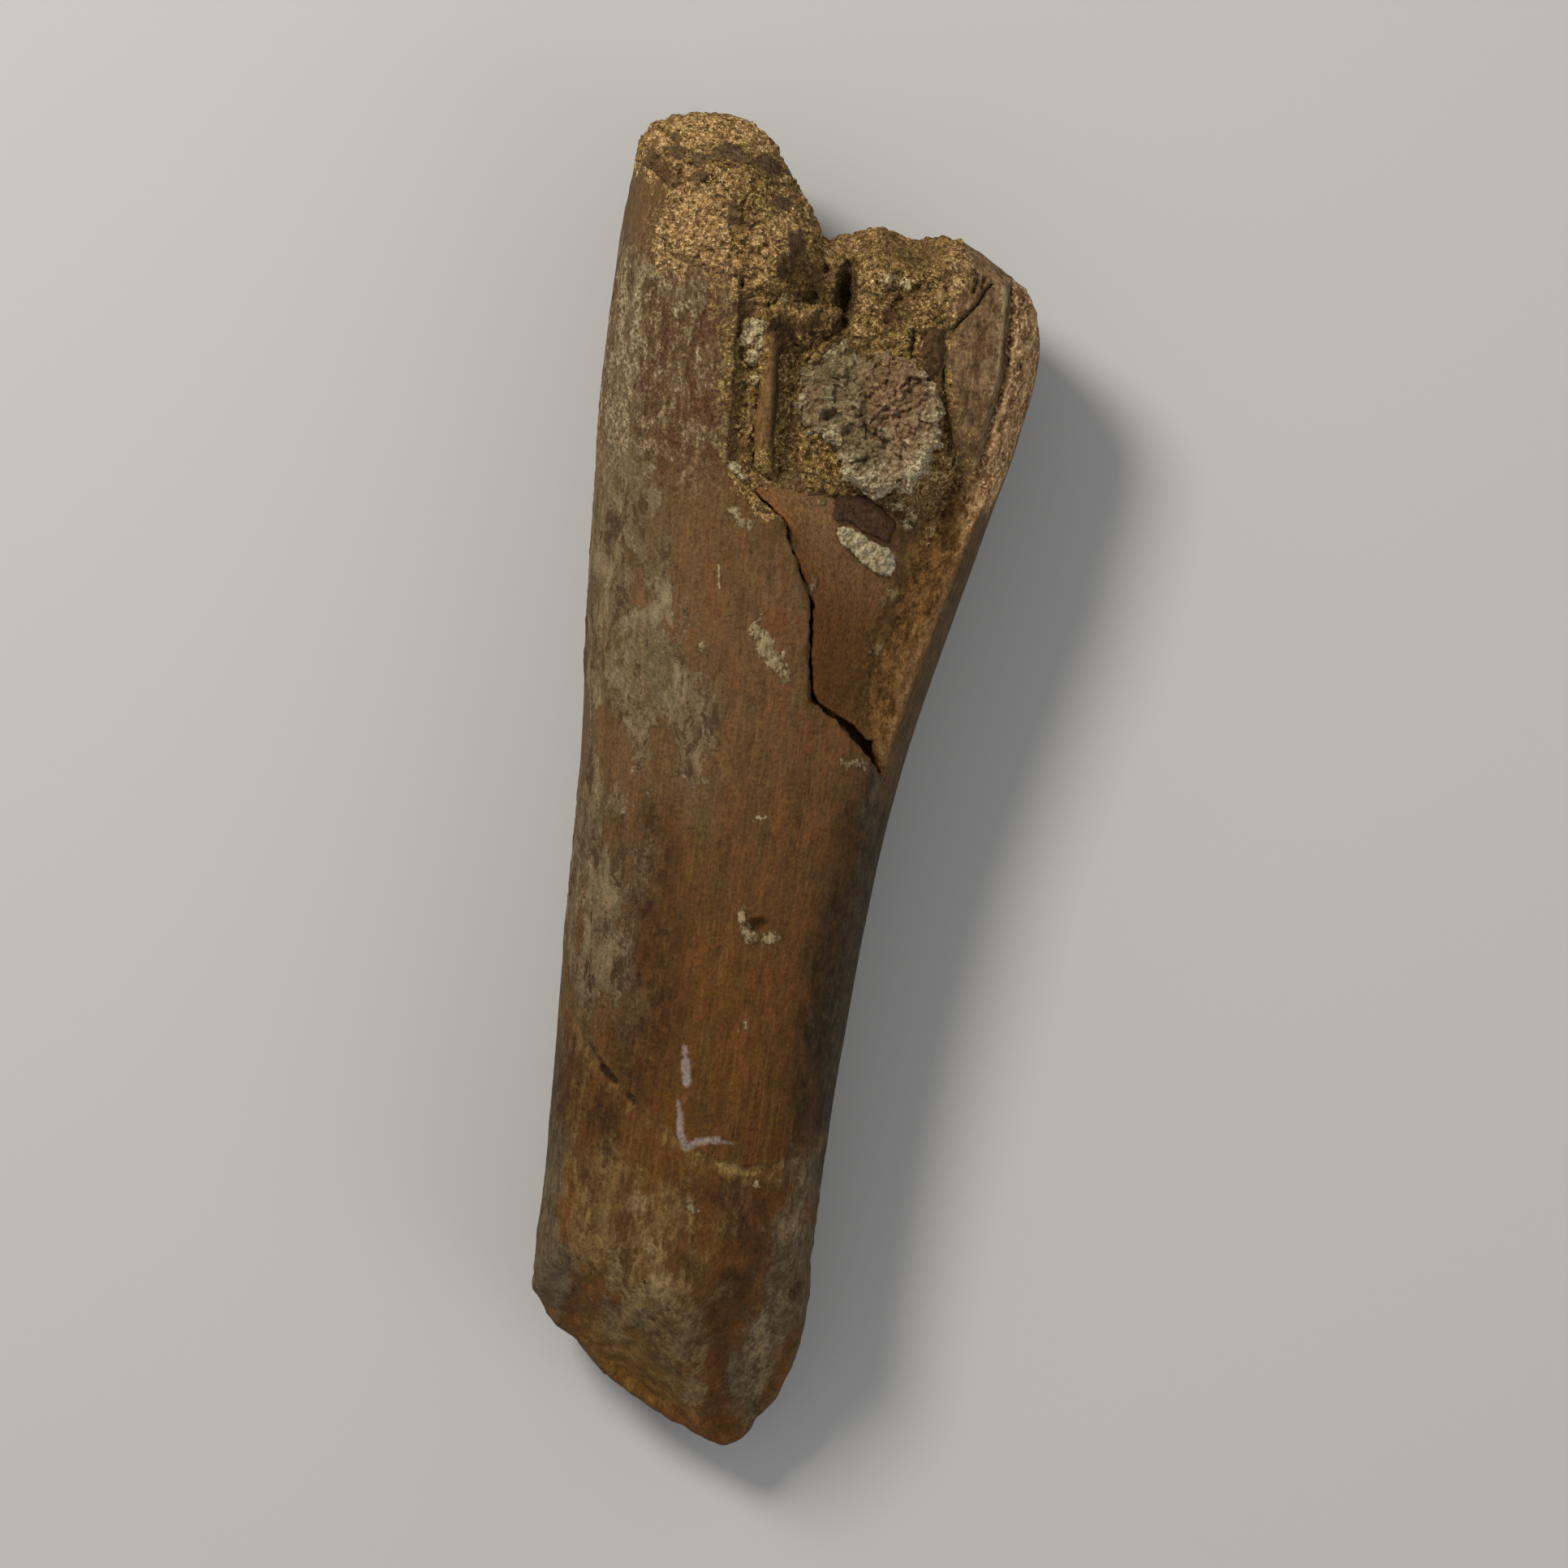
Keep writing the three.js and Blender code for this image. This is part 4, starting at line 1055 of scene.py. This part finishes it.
def sand_top(x, y):
    """Height of the sand, down to nothing where it thins out over bone and plate."""
    foot = along(HORN_FOOT, y)
    high = 1 - ease(foot - 9, foot, x)
    horn_level = mix(TROUGH_LEVEL, HORN_LEVEL, ease(88, 98, y))
    near_wall = ease(14, 27, x) * (1 - ease(74, 92, y))
    past_ledge = y - along(LEDGE, x) - 0.8 * noise(x, y, 0, 3, 43)
    level = mix(SAND_LEVEL - BESIDE_WALL_DROP * near_wall, horn_level, high)
    from_plate = plate_top(x, SAND_START) + 0.5 - 0.5 * np.maximum(0, y - SAND_START)
    level = inside_both(level, from_plate, 2.0)
    level = level - 1.0 * high * ease(-0.4, 1.0, -past_ledge) * ease(96, 102, y)
    cover = sand_cover(x, y)
    bank = 1.5 * np.exp(-(((x + 16.6) / 2.2) ** 2)) * (1 - ease(90, 96, y))
    bank = bank + 1.5 * np.exp(-(((lump_rim(x, y) - 0.8) / 1.7) ** 2)) * (0.35 + 0.65 * ease(68, 82, y))
    over_bone = front_height(x, y) + 0.5 * np.clip(cover, -4, 1.4)
    wall_cover = along(WALL_EDGE, y) + 0.4 - x + 0.8 * noise(x, y, 0, 2.8, 44)
    over_wall = wall_top(np.maximum(x, along(WALL_EDGE, y)), y) + 0.3 + 0.9 * wall_cover
    from_edge = y - along(SAND_EDGE, x) + 0.9 * noise(x, y, 0, 2.4, 45)
    over_plate = plate_top(x, np.minimum(y, SAND_START)) + 0.9 * from_edge
    lumpy = mix(1.2, 2.6, np.maximum(high, ease(88, 96, y)) * ease(86, 94, y))
    lumps = lumpy * (crumbs(x, y, 0, 5.5, 46) - 0.5) + 0.45 * noise(x, y, 0, 1.3, 49)
    top = np.minimum(level + bank, over_bone) + lumps * ease(-1, 2, cover)
    top = inside_either(inside_either(top, over_wall, 0.8), over_plate, 0.8)
    top = top + (stones(x, y, SAND_STONES) + stones(x, y, WHITE_CRUMBS)) * ease(-1.5, 0.5, cover)
    return top - sand_cavity(x, y)


# The lump is outlined here, because the sand banks up round it.
LUMP_RIM = [
    (-1.9, 66.0), (2.4, 68.0), (4.4, 64.6), (5.4, 60.8), (9.6, 58.8), (13.4, 57.8), (19.0, 59.4),
    (22.8, 64.6), (23.7, 71.5), (23.8, 77.0), (20.4, 80.4), (17.2, 84.6), (12.6, 87.2), (5.0, 86.8),
    (-0.4, 84.4), (-3.4, 79.6), (-4.1, 72.4),
]
LUMP_LEVEL = 46.4
LUMP_FOOT = 37.5
LUMP_CREVICES = [
    ([(7.4, 73.2), (9.6, 70.4), (11.6, 68.6), (14.0, 67.6)], 1.5, 0.55),
    ([(5.2, 62.4), (9.0, 63.4), (12.6, 65.0)], 0.7, 0.3),
]
# x, y, step and two tilts of each small broken face of the lump.
FACETS = np.random.default_rng(23).uniform((-8, 54, -1, -0.3, -0.3), (27, 91, 1, 0.3, 0.3), (110, 5))


def lump_rim(x, y):
    """Distance outside the ragged rim of the lump; below 0 inside it."""
    u, v = x + 1.5 * noise(x, y, 0, 3.2, 51), y + 1.5 * noise(x, y, 0, 3.0, 52)
    return outside(u + 0.8 * noise(x, y, 0, 1.3, 53), v + 0.8 * noise(x, y, 0, 1.3, 50), LUMP_RIM)


def lump_facets(x, y):
    """The steps and tilts of the small broken faces of the lump."""
    u, v = x + 0.6 * noise(x, y, 0, 2.2, 54), y + 0.6 * noise(x, y, 0, 2.2, 55)
    nearest = np.full(np.broadcast(x, y).shape, np.inf)
    step = np.zeros(nearest.shape)
    for cx, cy, lift, lean_x, lean_y in FACETS:
        off = np.hypot(u - cx, v - cy)
        step = np.where(off < nearest, 0.85 * lift + lean_x * (x - cx) + lean_y * (y - cy), step)
        nearest = np.minimum(nearest, off)
    return step


def lump_top(x, y):
    inward = np.clip(-lump_rim(x, y), 0, 12)
    top = LUMP_LEVEL + 1.3 * (1 - np.exp(-inward / 2.2)) + lump_facets(x, y)
    top = top + 0.9 * ease(0, 1.5, inward) * (1 - ease(2, 5, inward)) * ease(76, 62, y)
    top = top + 1.5 * (crumbs(x, y, 0, 3.4, 56) - 0.45) - 1.8 * ease(78, 87, y)
    for line, deep, wide in LUMP_CREVICES:
        off = line_distance(x + 0.5 * noise(x, y, 0, 1.6, 57), y, line)
        top = top - deep * np.exp(-((off / wide) ** 2))
    return top


# The splinter and its shelf are sized here too.
SPLINTER = {
    "x": -9.3, "lean": -0.07, "half_width": 1.9, "start": 58.8, "end": 91.0, "crest": 53.2, "foot": 42.0,
}
SHELF = {"level": 47.4, "from_x": -9.6, "to_x": 2.6, "low_y": 81.0, "lean": 0.5, "high_y": 91.8}


def splinter_field(x, y, z):
    """The upright sliver and its sloping shelf; below 0 inside them."""
    bar = SPLINTER
    middle = bar["x"] + bar["lean"] * np.clip(y - 72, -12, 12)
    off = (x - middle - 0.35 * noise(0, y, 0, 7, 58)) / bar["half_width"]
    crest = bar["crest"] - 0.7 * (off + 0.3) ** 2 - 2.0 * (1 - ease(57, 66, y)) - 0.8 * ease(78, 91, y)
    crest = crest + 0.35 * noise(x, y, 0, (2.5, 9, 1), 60)
    side = bar["half_width"] * (np.abs(off) - 1)
    ends = np.maximum(bar["start"] - y, y - bar["end"])
    upright = inside_both(inside_both(side, z - crest, 1.8), ends, 1.6)
    fall = np.clip((x - bar["x"]) / 13, 0, 1)
    slope = mix(bar["crest"] - 0.6, SHELF["level"], fall**0.6) + 0.3 * noise(x, y, 0, 4, 59)
    low_edge = SHELF["low_y"] + SHELF["lean"] * (x - SHELF["from_x"]) + 1.2 * noise(x, 0, 0, 3.5, 65) - y
    shelf_side = np.maximum(SHELF["from_x"] - x, x - SHELF["to_x"])
    shelf_side = np.maximum(shelf_side, np.maximum(low_edge, y - SHELF["high_y"]))
    shelf = inside_both(0.7 * shelf_side, z - slope, 2.0)
    return np.maximum(inside_either(upright, shelf, 1.2), SPLINTER["foot"] - z)


sand_axes = grid((-42.5, 50.5, 8.5), (30, 128.5, 59), SAND_MESH["step"] * COARSE)
X, Y, Z = sand_axes
sand_field = inside_both(whole_bone(X, Y, Z) - 1.2, 0.75 * (Y - upper_reach(X, Z)) - 0.1, 4.0)
sand_floor = np.where(Y < SAND_START + 0.2, plate_top(X, Y) - 1.2, marrow_floor(X, Y) - 0.4)
bone_side = np.where(Z > 40, -3.5, -0.2)
sand_sides = np.maximum(break_edge(Y) + bone_side - X, X - wall_edge(Y) - np.where(Z > 33, 2.5, 0.2))
sand_field = np.maximum(sand_field, np.maximum(sand_sides, sand_floor - Z))
sand_field = inside_both(sand_field, 0.8 * (Z - sand_top(X, Y)), 0.5)


def sand_relief(x, y, z, normal):
    seen = ease(30, 36, z) + ease(100, 104, y)
    off = 1.0 * (crumbs(x, y, z, 2.4, 66) - 0.45) + 0.4 * noise(x, y, z, 1.1, 69)
    smooth = ease(-0.3, 0.5, patches(x, y, [row[:4] for row in SAND_STONES], 0.25))
    return off * np.minimum(1, seen) * (1 - 0.75 * smooth)


# Golden sand, and painted light on two shaded places: the horn's right slope and the sand beside the wall
# right of the lump.
GOLD_AND_LIT_PARTS = [
    (-26, 101, 9, 12), (-24, 122, 16, 5), (5.0, 98, 5.5, 6), (22.5, 94, 3.5, 9), (-34, 117, 6, 5),
    (5, 88, 3, 5), (-13.5, 99, 3, 6), (22.5, 66, 4, 9), (-8.5, 106, 4, 7),
]
# Brown sand, and painted shade in the slot, the trough beside it and the hollows.
BROWN_AND_SHADED_PARTS = [
    (-17.7, 105.4, 1.8, 4.0), (-6, 98, 2.6, 5), (-3.5, 93, 3.0, 3), (2.5, 92, 3.5, 9),
    (6, 84.5, 4, 2.5), (20.4, 85.6, 2.8, 6.4), (3, 96, 2, 7), (13.5, 102.8, 6, 2.0),
    (13, 105.4, 5, 3), (13.4, 93.5, 2.0, 6), (-36, 113, 3, 3),
]


def sand_zones(x, y, z, normal):
    stony = [(cx, cy, 1.1 * rx, 1.1 * ry) for cx, cy, rx, ry, turn, high in SAND_STONES]
    white = [(cx, cy, rx, ry) for cx, cy, rx, ry, turn, high in WHITE_CRUMBS]
    return {
        "gold_and_light": patches(x, y, GOLD_AND_LIT_PARTS),
        "stony": patches(x, y, stony, 0.25),
        "brown_and_shade": patches(x, y, BROWN_AND_SHADED_PARTS, 0.4),
        "white": patches(x, y, white, 0.15),
        "cavity_shade": sand_cavity(x, y),
        "edge": np.clip(sand_cover(x, y), -3, 9),
    }


sand = shaped("hardened_sand", sand_axes, sand_field, sand_relief, SAND_MESH["triangles"], sand_zones)
sand_material, p, sand_shader = new_material("hardened_sand", 0.1)
ragged = p.cloud(0.2, 7.0, 0.68)
clumps = p.cloud(0.7, 5.0, 0.7)
flaky = p.cloud(0.8, 7.0, 0.78)
speckle = p.cloud(1.4, 2.0, 0.7)
olive, golden, grain = sand_colours(p, clumps, speckle)
# Golden sand, partly painted light on shaded slopes.
gold_and_light = (p.zone("gold_and_light") + ragged * 14 + flaky * 6).above(-3.0, 3.0)
colour = gold_and_light.blend(olive, golden)
rusty = (ragged + clumps * 0.5).above(0.12, 0.4)
colour = (rusty * 0.45).blend(colour, srgb(138, 86, 48))
stony = (p.zone("stony") + flaky * 1.2 + ragged * 1.4).above(-0.2, 0.3)
stone_tint = flaky.mottle((50, 35, 25), (112, 86, 64))
colour = (stony * 0.88).blend(colour, stone_tint)
bare = (2.4 - p.zone("edge") + ragged * 9 + flaky * 6).above(0.0, 2.2)
colour = (bare * 0.7).blend(colour, flaky.mottle((94, 66, 42), (146, 114, 80)))
# Brown sand, partly painted shade in the slot and hollows.
brown_and_shade = (p.zone("brown_and_shade") + ragged * 6 + flaky * 4).above(-1.2, 1.6)
colour = (brown_and_shade * 0.6).blend(colour, flaky.mottle((66, 46, 22), (114, 86, 52)))
# Painted shade in the hollows and crevices.
colour = (p.zone("cavity_shade").above(0.6, 3.0) * 0.65).blend(colour, srgb(40, 28, 12))
white = (p.zone("white") + flaky * 1.8 + speckle * 1.2).above(-0.2, 0.4)
white_tint = flaky.above(-0.3, 0.25).blend(srgb(152, 122, 74), srgb(255, 234, 182))
colour = white.blend(colour, (-speckle).above(0.1, 0.4).blend(white_tint, srgb(84, 64, 32)))
height = grain * (1.0 - stony * 0.6) + clumps * 0.5 + flaky * 0.4
finish_material(sand_shader, p, colour, 0.9 + clumps * 0.2, height)
sand.data.materials.append(sand_material)
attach(sand, "root")
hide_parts("sediment_fill")

# ---- Sunken plate ----
# A smooth, reddish plate of the front wall that was pressed in below the open crack before the
# bone turned to stone. It dips to the right and its upper end runs under the sand.
PLATE_MESH = {"step": 0.33, "triangles": 70000}
PLATE_START = 11.6
# y, then the width of the open crack left of the plate.
CRACK = [(5, 3.6), (15, 3.2), (17.6, 1.6), (20, 0.7), (45, 0.45), (50, 0.9), (60, 0.6)]
PLATE_SPECKS = [
    (3.6, 40.2, 0.7, 1.5), (3.1, 38.2, 0.5, 1.2), (17.2, 29.2, 1.1, 0.9), (15.6, 28.6, 0.8, 0.7),
    (18.8, 39.8, 1.5, 1.0), (17.2, 38.2, 0.9, 1.1), (-1.2, 46.6, 0.6, 1.8), (3.2, 55.2, 0.9, 0.8),
    (10, 52.2, 0.5, 0.5),
]

plate_axes = grid((-15, 9.5, 27), (27, 59, 54), PLATE_MESH["step"] * COARSE)
X, Y, Z = plate_axes
plate_left = break_edge(Y) + straight(CRACK, Y) + 0.2 * noise(X, Y, Z, 2, 71)
plate_sides = np.maximum(plate_left - X, X - wall_edge(Y) - 0.8)
plate_sides = np.maximum(plate_sides, np.maximum(PLATE_START - Y, Y - SAND_START + 0.3))
plate_field = inside_both(plate_sides, Z - plate_top(X, Y), 0.7)
plate_field = np.maximum(plate_field, plate_top(X, Y) - PLATE_THICKNESS - Z)


def plate_relief(x, y, z, normal):
    off = 0.25 * noise(x, y, z, (8, 20, 8), 72) + 0.08 * noise(x, y, z, (1.8, 12, 1.8), 73)
    valley = np.exp(-(((along(WALL_EDGE, y) - 1.2 - x) / 1.8) ** 2)) * ease(12, 20, y)
    off += valley * (0.8 * (crumbs(x, y, z, 2.6, 74) - 0.4) - 0.5)
    side = 1 - ease(0.1, 0.6, normal[:, 2])
    for cx, cy, rx, ry in PLATE_SPECKS:
        off += 0.35 * ease(0, 0.6, bowl(x, y, cx, cy, rx, ry)) * (1 - side)
    return off + side * 0.3 * noise(x, y, z, 1.6, 77)


def plate_zones(x, y, z, normal):
    return {
        "left": np.exp(-np.maximum(0, x - break_edge(y) - 1) / 3.5),
        "valley": along(WALL_EDGE, y) - x,
        "cream": patches(x, y, PLATE_SPECKS, 0.2),
    }


plate_triangles = PLATE_MESH["triangles"]
plate = shaped("pressed_in_plate", plate_axes, plate_field, plate_relief, plate_triangles, plate_zones)
plate_material, p, plate_shader = new_material("red_plate", 0.14)
flaky = p.stretched(1, 0.6, 1).cloud(0.5, 8.0, 0.76, 0.3)
ragged = p.cloud(0.2, 7.0, 0.68)
speckle = p.cloud(1.4, 2.0, 0.7)
fibres = p.stretched(2.0, 0.14, 2.0).cloud(1.0, 4.0, 0.6)
colour = p.axis("Y").above(34, 52).blend(srgb(104, 71, 38), srgb(122, 90, 58))
colour = (p.zone("left") * 0.7).blend(colour, srgb(130, 80, 38))
colour = (ragged.above(0.04, 0.4) * 0.5).blend(colour, srgb(92, 70, 32))
valley = (3.4 - p.zone("valley") + flaky * 5 + ragged * 6).above(-0.5, 3.5)
colour = (valley * 0.8).blend(colour, flaky.mottle((74, 55, 25), (124, 94, 52)))
colour = colour.tinted(1.06 + speckle * 0.9 + flaky * 0.6 + fibres * 0.4)
cream = (p.zone("cream") + flaky * 1.8 + speckle * 1.2).above(-0.1, 0.4)
colour = (cream * 0.9).blend(colour, flaky.mottle((110, 88, 52), (180, 156, 110)))
height = fibres * 0.1 + speckle * 0.16 + flaky * 0.2 + cream * (flaky * 0.5 + 0.15) + valley * flaky * 0.6
finish_material(plate_shader, p, colour, 0.6 + flaky * 0.2 + cream * 0.2 + valley * 0.2, height)
plate.data.materials.append(plate_material)
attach(plate, "root")
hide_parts("sunken_plate")

# ---- Bone splinter ----
# A smooth sliver of the same bone that stands in the sand beside the left wall, with a shelf
# at its upper end that falls away to the right.
SPLINTER_MESH = {"step": 0.26, "triangles": 40000}
SPLINTER_SAND = [(-9, 58.5, 4, 4.5), (-8, 92.0, 5, 3), (2, 91.5, 4, 2.4), (-1, 84.6, 3, 1.4)]
splinter_axes = grid((-13.5, 57, 41), (6, 93, 55.5), SPLINTER_MESH["step"] * COARSE)


def splinter_relief(x, y, z, normal):
    off = 0.16 * noise(x, y, z, (3, 14, 3), 81) + 0.07 * noise(x, y, z, (1.1, 8, 1.1), 82)
    lumpy = 0.7 * (crumbs(x, y, z, 2.2, 83) - 0.45) + 0.25 * noise(x, y, z, 1.2, 85)
    return off + lumpy * ease(80, 86, y)


def splinter_zones(x, y, z, normal):
    beside_bar = x - SPLINTER["x"] - SPLINTER["lean"] * np.clip(y - 72, -12, 12) - 0.9
    left_side = (SPLINTER["x"] - 1.2 - x) + 1.2 * noise(x, y, 0, 6, 84) - 0.9
    return {
        "shelf": np.maximum(beside_bar, 0.7 * (y - 84.5)),
        "sandy": np.maximum(patches(x, y, SPLINTER_SAND, 0.5), left_side),
    }


bar_field = splinter_field(*splinter_axes)
bar_triangles = SPLINTER_MESH["triangles"]
splinter = shaped(
    "standing_splinter", splinter_axes, bar_field, splinter_relief, bar_triangles, splinter_zones
)
splinter_material, p, splinter_shader = new_material("splinter_bone", 0.14)
fibres = p.stretched(2.0, 0.16, 2.0).cloud(1.0, 4.0, 0.6)
speckle = p.cloud(1.4, 2.0, 0.7)
flaky = p.stretched(1, 0.6, 1).cloud(0.5, 8.0, 0.76, 0.3)
clumps = p.cloud(0.7, 5.0, 0.7)
olive, golden, grain = sand_colours(p, clumps, speckle)
colour = flaky.mottle((98, 70, 38), (130, 98, 58), 0.4)
# The shelf and the bar's right side and top are dark brown, partly painted shade where they turn away from
# the lamp.
shelf = (p.zone("shelf") + flaky * 1.5).above(-0.5, 0.9)
colour = (shelf * 0.92).blend(colour, flaky.mottle((42, 28, 12), (92, 66, 38)))
colour = colour.tinted(1 + speckle * 0.8 + flaky * 0.5 + fibres * 0.4)
sandy = (p.zone("sandy") + flaky * 4 + speckle * 1.5).above(-1.2, 1.0)
colour = sandy.blend(colour, olive)
height = fibres * 0.08 + speckle * 0.16 + flaky * (0.15 + shelf * 0.6) + sandy * grain * 0.9
finish_material(splinter_shader, p, colour, 0.62 + flaky * 0.2 + sandy * 0.25, height)
splinter.data.materials.append(splinter_material)
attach(splinter, "root")
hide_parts("bone_splinter")

# ---- Chalk lump ----
# A pitted, cracked lump of chalky stone that is stuck in the sand, white along its lower rim,
# grey at the left and pinkish brown at the top.
LUMP_MESH = {"step": 0.24, "triangles": 120000}
PINK_PARTS = [(15.5, 80, 7, 7), (13, 74, 5, 5), (-0.5, 74.5, 2, 3), (17, 71, 3, 4)]
GREY_PARTS = [(2.5, 77, 6, 9), (8, 67, 7, 3.5), (7, 84, 5, 4), (9, 71, 4, 3)]
lump_axes = grid((-8, 54, 36.5), (27, 91, 52), LUMP_MESH["step"] * COARSE)
X, Y, Z = lump_axes
lump_field = inside_both(lump_rim(X, Y), 0.8 * (Z - lump_top(X, Y)), 1.4)
lump_field = np.maximum(lump_field, LUMP_FOOT - Z)


def lump_relief(x, y, z, normal):
    off = 0.9 * (crumbs(x, y, z, 1.9, 91) - 0.45) + 0.3 * noise(x, y, z, 0.8, 94)
    return off * ease(40, 43, z)


def lump_zones(x, y, z, normal):
    inward = -lump_rim(x, y)
    cracks = 0.0
    for line, deep, wide in LUMP_CREVICES:
        cracks = cracks + np.exp(-((line_distance(x, y, line) / (1.2 * wide)) ** 2))
    steps = lump_facets(x, y)
    return {
        "white": 3.0 - inward + 0.22 * (66 - y) + 1.4 * steps,
        "pink": patches(x, y, PINK_PARTS),
        "grey": patches(x, y, GREY_PARTS),
        "crack_shade": cracks,
        "low": -steps,
    }


lump = shaped("pitted_lump", lump_axes, lump_field, lump_relief, LUMP_MESH["triangles"], lump_zones)
lump_material, p, lump_shader = new_material("chalky_stone", 0.1)
ragged = p.cloud(0.22, 7.0, 0.7, 0.3)
flaky = p.cloud(0.75, 8.0, 0.8, 0.4)
speckle = p.cloud(1.4, 3.0, 0.8)
colour = flaky.mottle((148, 118, 78), (230, 198, 150))
grey = (p.zone("grey") + ragged * 14 + flaky * 10).above(-2.0, 2.5)
colour = (grey * 0.8).blend(colour, flaky.mottle((98, 88, 54), (188, 172, 128)))
pink = (p.zone("pink") + ragged * 14 + flaky * 10).above(-2.0, 2.5)
colour = (pink * 0.8).blend(colour, flaky.mottle((124, 84, 54), (208, 162, 120)))
sunken = (-flaky - ragged).above(0.15, 0.5) * 0.6
colour = (sunken * 0.7).blend(colour, flaky.mottle((88, 62, 40), (134, 104, 72), 0.2))
white = (p.zone("white") + ragged * 10 + flaky * 12 + speckle * 4).above(0.0, 4.0)
white_tint = speckle.above(-0.3, 0.2).blend(srgb(186, 156, 104), srgb(255, 240, 196))
colour = (white * 0.85).blend(colour, white_tint)
curled = p.curls(0.9, 0.09) * (flaky * 1.6 + 0.35)
colour = (curled * 0.8).blend(colour, srgb(250, 234, 196))
colour = (p.zone("low").above(0.1, 0.8) * 0.25).blend(colour, srgb(104, 84, 50))
# Painted shade in the lump's crevices.
colour = (p.zone("crack_shade").above(0.4, 1.0) * 0.5).blend(colour, srgb(64, 48, 24))
colour = colour.tinted(1.08 + speckle * 1.1)
height = flaky * 1.0 + speckle * 0.5 + curled * 0.2
finish_material(lump_shader, p, colour, 0.88 + flaky * 0.2, height)
lump.data.materials.append(lump_material)
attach(lump, "root")
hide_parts("chalk_lump")

# ---- Flakes on the plate ----
# Two flakes lie on the plate just below the sand: a dark angular chip of bone with a thick
# broken edge, and beside it a longer cream one with a crumbling top.
CHIP_THICKNESS = 1.7
CHIP_CLEARANCE = 0.05
CHIP_STEP = 0.2
DARK_CHIP_TRIANGLES = 16000
PALE_CHIP_TRIANGLES = 24000
DARK_CHIP = [
    (5.6, 56.0), (5.9, 52.0), (9.3, 52.2), (12.5, 50.6), (17.0, 49.3), (17.8, 53.2), (14.6, 55.6),
    (12.4, 57.2), (6.0, 57.2),
]
PALE_CHIP = [
    (6.5, 50.6), (7.6, 48.4), (12.6, 44.6), (16.0, 43.0), (18.0, 43.3), (18.6, 45.6), (16.9, 48.3),
    (12.6, 49.6), (9.2, 51.2),
]


def flake(name, corners, low, high, lift, relief, most, zones):
    axes = grid(low, high, CHIP_STEP * COARSE)
    x, y, z = axes
    edge = outside(x + 0.35 * noise(x, y, 0, 1.6, 101), y + 0.35 * noise(x, y, 0, 1.7, 102), corners)
    base = plate_top(x, y) - 0.4
    field = inside_both(edge, 0.8 * (z - base - 0.4 - CHIP_CLEARANCE - lift(x, y)), 0.5)
    return shaped(name, axes, np.maximum(field, base - z), relief, most, zones)


def flake_material(name, gloss, tints, speck, rough, bumpiness):
    """Two mottled tints, with a third where the zone called end is above 0."""
    material, p, shader = new_material(name, gloss)
    flaky = p.cloud(0.8, 7.0, 0.78, 0.3)
    speckle = p.cloud(1.6, 5.0, 0.82)
    colour = flaky.above(-0.3, 0.3).blend(tints[0], tints[1])
    colour = (p.zone("end") + flaky * 3).above(-0.5, 1.0).blend(colour, tints[2])
    colour = (speckle.above(0.12, 0.4) * 0.45).blend(colour, speck[1])
    colour = ((-speckle).above(0.1, 0.4) * 0.5).blend(colour, speck[0])
    height = flaky * bumpiness + speckle * 0.15 + p.cloud(1.6) * 0.2
    finish_material(shader, p, colour, rough + flaky * 0.15, height)
    return material


dark_chip = flake(
    "dark_flake",
    DARK_CHIP,
    (4, 48, 37),
    (19.5, 58.8, 50),
    lambda x, y: CHIP_THICKNESS * (0.7 + 0.5 * ease(6, 17, x)) + 0.15 * noise(x, y, 0, 3, 103),
    lambda x, y, z, normal: 0.2 * noise(x, y, z, 1.3, 104) + 0.3 * (crumbs(x, y, z, 2.4, 106) - 0.45),
    DARK_CHIP_TRIANGLES,
    lambda x, y, z, normal: {"end": 0.7 - np.minimum(17.8 - x, 57.4 - y)},
)
# The third tint is painted shade along the dark flake's upper and right edges.
dark_and_edge_shade_tints = (srgb(56, 36, 17), srgb(92, 62, 38), srgb(44, 29, 14))
dark_chip.data.materials.append(
    flake_material("dark_bone", 0.25, dark_and_edge_shade_tints, (srgb(34, 22, 12), srgb(130, 100, 68)), 0.55, 0.25)
)
pale_chip = flake(
    "pale_flake",
    PALE_CHIP,
    (4.5, 41, 37),
    (20.5, 53, 50),
    lambda x, y: CHIP_THICKNESS * 0.85 + 1.4 * (crumbs(x, y, 0, 3.0, 105) - 0.4),
    lambda x, y, z, normal: 0.7 * (crumbs(x, y, z, 1.5, 108) - 0.4),
    PALE_CHIP_TRIANGLES,
    lambda x, y, z, normal: {"end": x - 15.2},
)
pale_tints = (srgb(206, 174, 116), srgb(255, 244, 198), srgb(214, 198, 160))
pale_chip.data.materials.append(
    flake_material("cream_stone", 0.15, pale_tints, (srgb(74, 56, 30), srgb(255, 242, 206)), 0.85, 0.9)
)
for chip, node, slot in ((dark_chip, "dark_chip", "dark_bone"), (pale_chip, "pale_chip", "chalky_stone")):
    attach(chip, "root")
    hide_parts(node)
